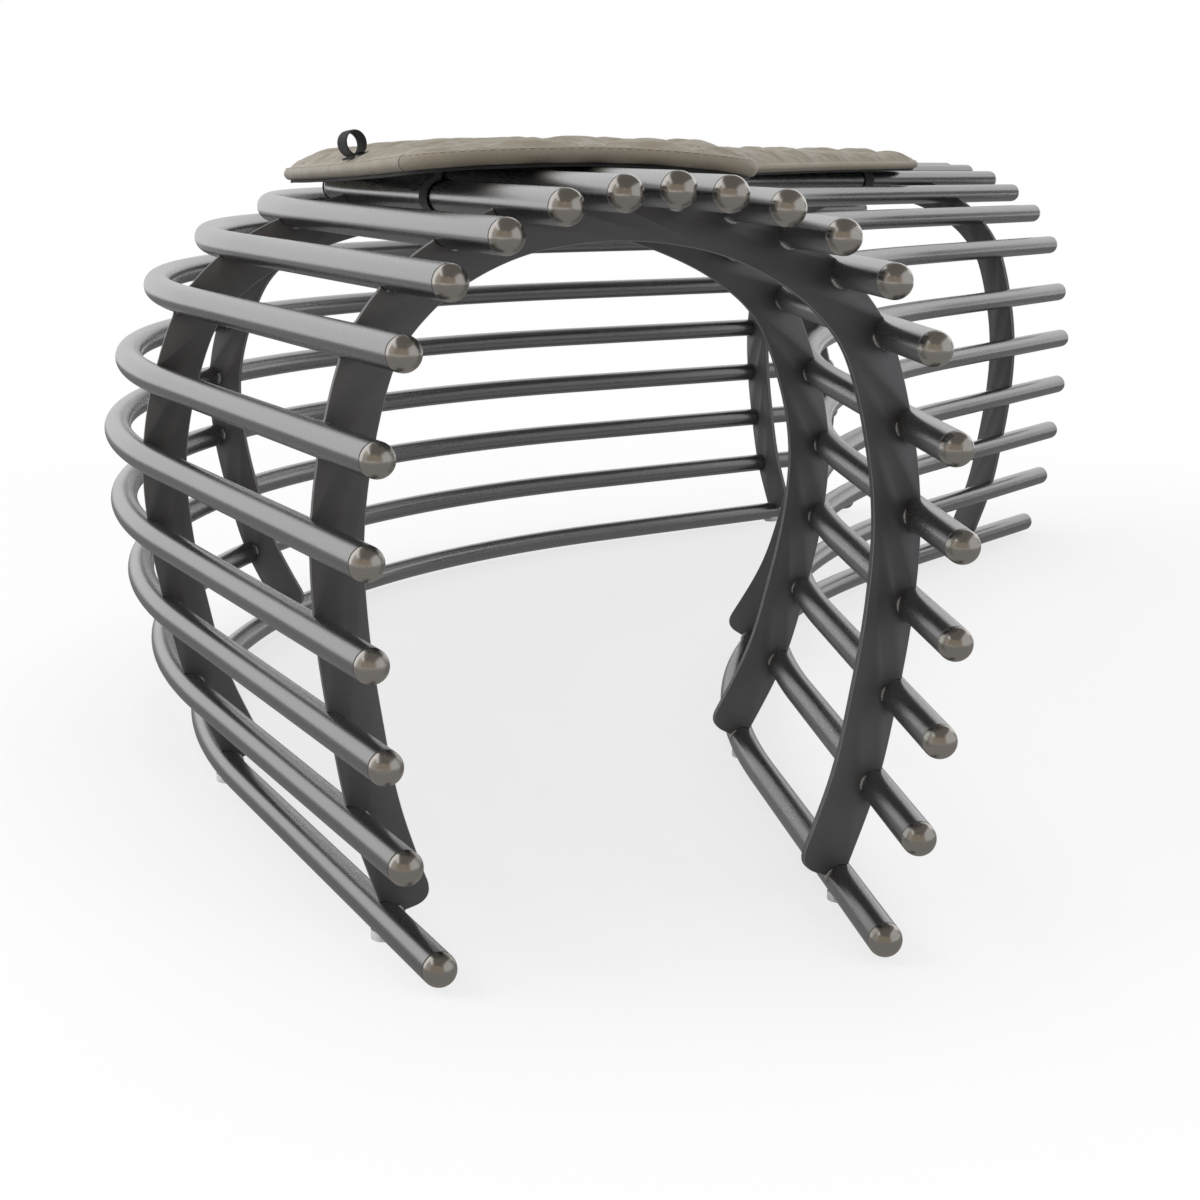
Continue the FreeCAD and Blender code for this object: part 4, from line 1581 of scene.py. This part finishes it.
def white_to_sight(tree, dim, bright):
    """Mixes a shader seen by the lamps with a white one seen by the camera and in reflections."""
    light = tree.node("ShaderNodeLightPath")
    seen = tree.maths("MAXIMUM", light.outputs["Is Camera Ray"], light.outputs["Is Glossy Ray"])
    seen = tree.maths("MAXIMUM", seen, light.outputs["Is Transmission Ray"])
    mix = tree.node("ShaderNodeMixShader")
    for source, target in zip((seen, dim, bright), mix.inputs):
        tree.join(source, target)
    return mix.outputs[0]


def plane(name, size, place, turn=LEVEL):
    x, y = size[0] / 2, size[1] / 2
    mesh = bpy.data.meshes.new(name)
    mesh.from_pydata([(-x, -y, 0), (x, -y, 0), (x, y, 0), (-x, y, 0)], [], [(0, 1, 2, 3)])
    obj = bpy.data.objects.new(name, mesh)
    obj.location = place
    obj.rotation_euler = turn
    bpy.context.scene.collection.objects.link(obj)
    return obj


class BENCH_OT_stage(bpy.types.Operator):
    """Adds the floor, backdrop, cards, lamps and camera"""
    bl_idname = "bench.stage"
    bl_label = "Stage"
    bl_options = {"REGISTER", "UNDO"}

    def execute(self, context):
        self.floor()
        self.world()
        self.cards()
        self.lamps()
        self.camera()
        context.scene.view_settings.view_transform = "Standard"
        return {"FINISHED"}

    def floor(self):
        """Pale floor that keeps the shadow near the bench and fades to white away from it."""
        floor = plane("floor", (FLOOR_SIZE, FLOOR_SIZE), (0, 0, -FLOOR_DROP))
        finish = Finish("pale_floor", settings().colours.floor, roughness=0.9)
        finish.set("Specular IOR Level", 0.1)
        tree = finish.tree
        glow = tree.node("ShaderNodeEmission")
        shadow = tree.node("ShaderNodeMixShader")
        away = tree.node("ShaderNodeVectorMath", operation="LENGTH")
        tree.join(finish.place(), away.inputs[0])
        fade = tree.span(away.outputs["Value"], FLOOR_FADE_REACH, FLOOR_FADE)
        lit = finish.shader.outputs[0]
        for source, target in zip((fade, lit, glow.outputs[0]), shadow.inputs):
            tree.join(source, target)
        seen = white_to_sight(tree, lit, shadow.outputs[0])
        output = finish.material.node_tree.nodes["Material Output"]
        tree.join(seen, output.inputs["Surface"])
        floor.data.materials.append(finish.material)

    def world(self):
        world = bpy.data.worlds.new("studio")
        bpy.context.scene.world = world
        world.use_nodes = True
        tree = Tree(world.node_tree)
        dim = world.node_tree.nodes["Background"]
        bright = tree.node("ShaderNodeBackground")
        for background, strength in ((dim, WORLD_LIGHT), (bright, 1.0)):
            background.inputs["Color"].default_value = (1, 1, 1, 1)
            background.inputs["Strength"].default_value = strength
        seen = white_to_sight(tree, dim.outputs[0], bright.outputs[0])
        tree.join(seen, world.node_tree.nodes["World Output"].inputs["Surface"])

    def cards(self):
        """Cards that only reflections see, as a studio uses to draw the edges of metal."""
        for name, size, place, turn, colour in CARDS:
            card = plane(name, size, place, turn)
            material = bpy.data.materials.new(name)
            material.use_nodes = True
            tree = Tree(material.node_tree)
            glow = tree.node("ShaderNodeEmission")
            glow.inputs["Color"].default_value = (*colour, 1)
            output = material.node_tree.nodes["Material Output"]
            tree.join(glow.outputs[0], output.inputs["Surface"])
            card.data.materials.append(material)
            card.visible_camera = False
            card.visible_diffuse = False
            card.visible_shadow = False
            card.visible_transmission = False

    def lamps(self):
        for name, place, size, power in LAMPS:
            data = bpy.data.lights.new(name, "AREA")
            data.shape = "RECTANGLE"
            data.size, data.size_y = size
            data.energy = power
            lamp = bpy.data.objects.new(name, data)
            lamp.location = place
            lamp.visible_glossy = False
            lamp.rotation_euler = (LAMP_AIM - Vector(place)).to_track_quat("-Z", "Y").to_euler()
            bpy.context.scene.collection.objects.link(lamp)

    def camera(self):
        data = bpy.data.cameras.new("camera")
        data.lens = CAMERA_LENS
        data.sensor_width = CAMERA_SENSOR
        camera = bpy.data.objects.new("camera", data)
        sine, cosine = math.sin(CAMERA_YAW), math.cos(CAMERA_YAW)
        flat = Vector((sine, cosine, 0))
        ahead = flat * math.cos(CAMERA_PITCH) + UP * math.sin(CAMERA_PITCH)
        right = Vector((cosine, -sine, 0))
        above = right.cross(ahead)
        rolled_right = right * math.cos(CAMERA_ROLL) + above * math.sin(CAMERA_ROLL)
        rolled_above = above * math.cos(CAMERA_ROLL) - right * math.sin(CAMERA_ROLL)
        turn = Matrix((rolled_right, rolled_above, -ahead)).transposed().to_4x4()
        camera.matrix_world = Matrix.Translation(CAMERA_PLACE) @ turn
        bpy.context.scene.collection.objects.link(camera)
        bpy.context.scene.camera = camera


OPERATORS = (
    BENCH_OT_tubes, BENCH_OT_end_caps, BENCH_OT_ribs, BENCH_OT_weld_tacks, BENCH_OT_floor_glides,
    BENCH_OT_seat_pad, BENCH_OT_straps, BENCH_OT_stage)


class BENCH_PT_panel(bpy.types.Panel):
    """Lists the bench's operators and sizes"""
    bl_idname = "BENCH_PT_panel"
    bl_label = "Curved bench"
    bl_space_type = "VIEW_3D"
    bl_region_type = "UI"
    bl_category = "Bench"

    def draw(self, context):
        for operator in OPERATORS:
            self.layout.operator(operator.bl_idname)
        bench = context.scene.bench
        for part in (bench.metal, bench.pad, bench.straps, bench.colours):
            column = self.layout.column()
            for name in part.__annotations__:
                column.prop(part, name)


CLASSES = (MetalSizes, PadSizes, StrapSizes, Colours, BenchSettings, *OPERATORS, BENCH_PT_panel)


def register():
    for cls in CLASSES:
        bpy.utils.register_class(cls)
    bpy.types.Scene.bench = PointerProperty(type=BenchSettings)


def unregister():
    del bpy.types.Scene.bench
    for cls in reversed(CLASSES):
        bpy.utils.unregister_class(cls)


def main():
    register()
    bpy.ops.bench.tubes()
    bpy.ops.bench.end_caps()
    bpy.ops.bench.ribs()
    bpy.ops.bench.weld_tacks()
    bpy.ops.bench.floor_glides()
    bpy.ops.bench.seat_pad()
    bpy.ops.bench.straps()
    bpy.ops.bench.stage()


if __name__ == "__main__":
    main()
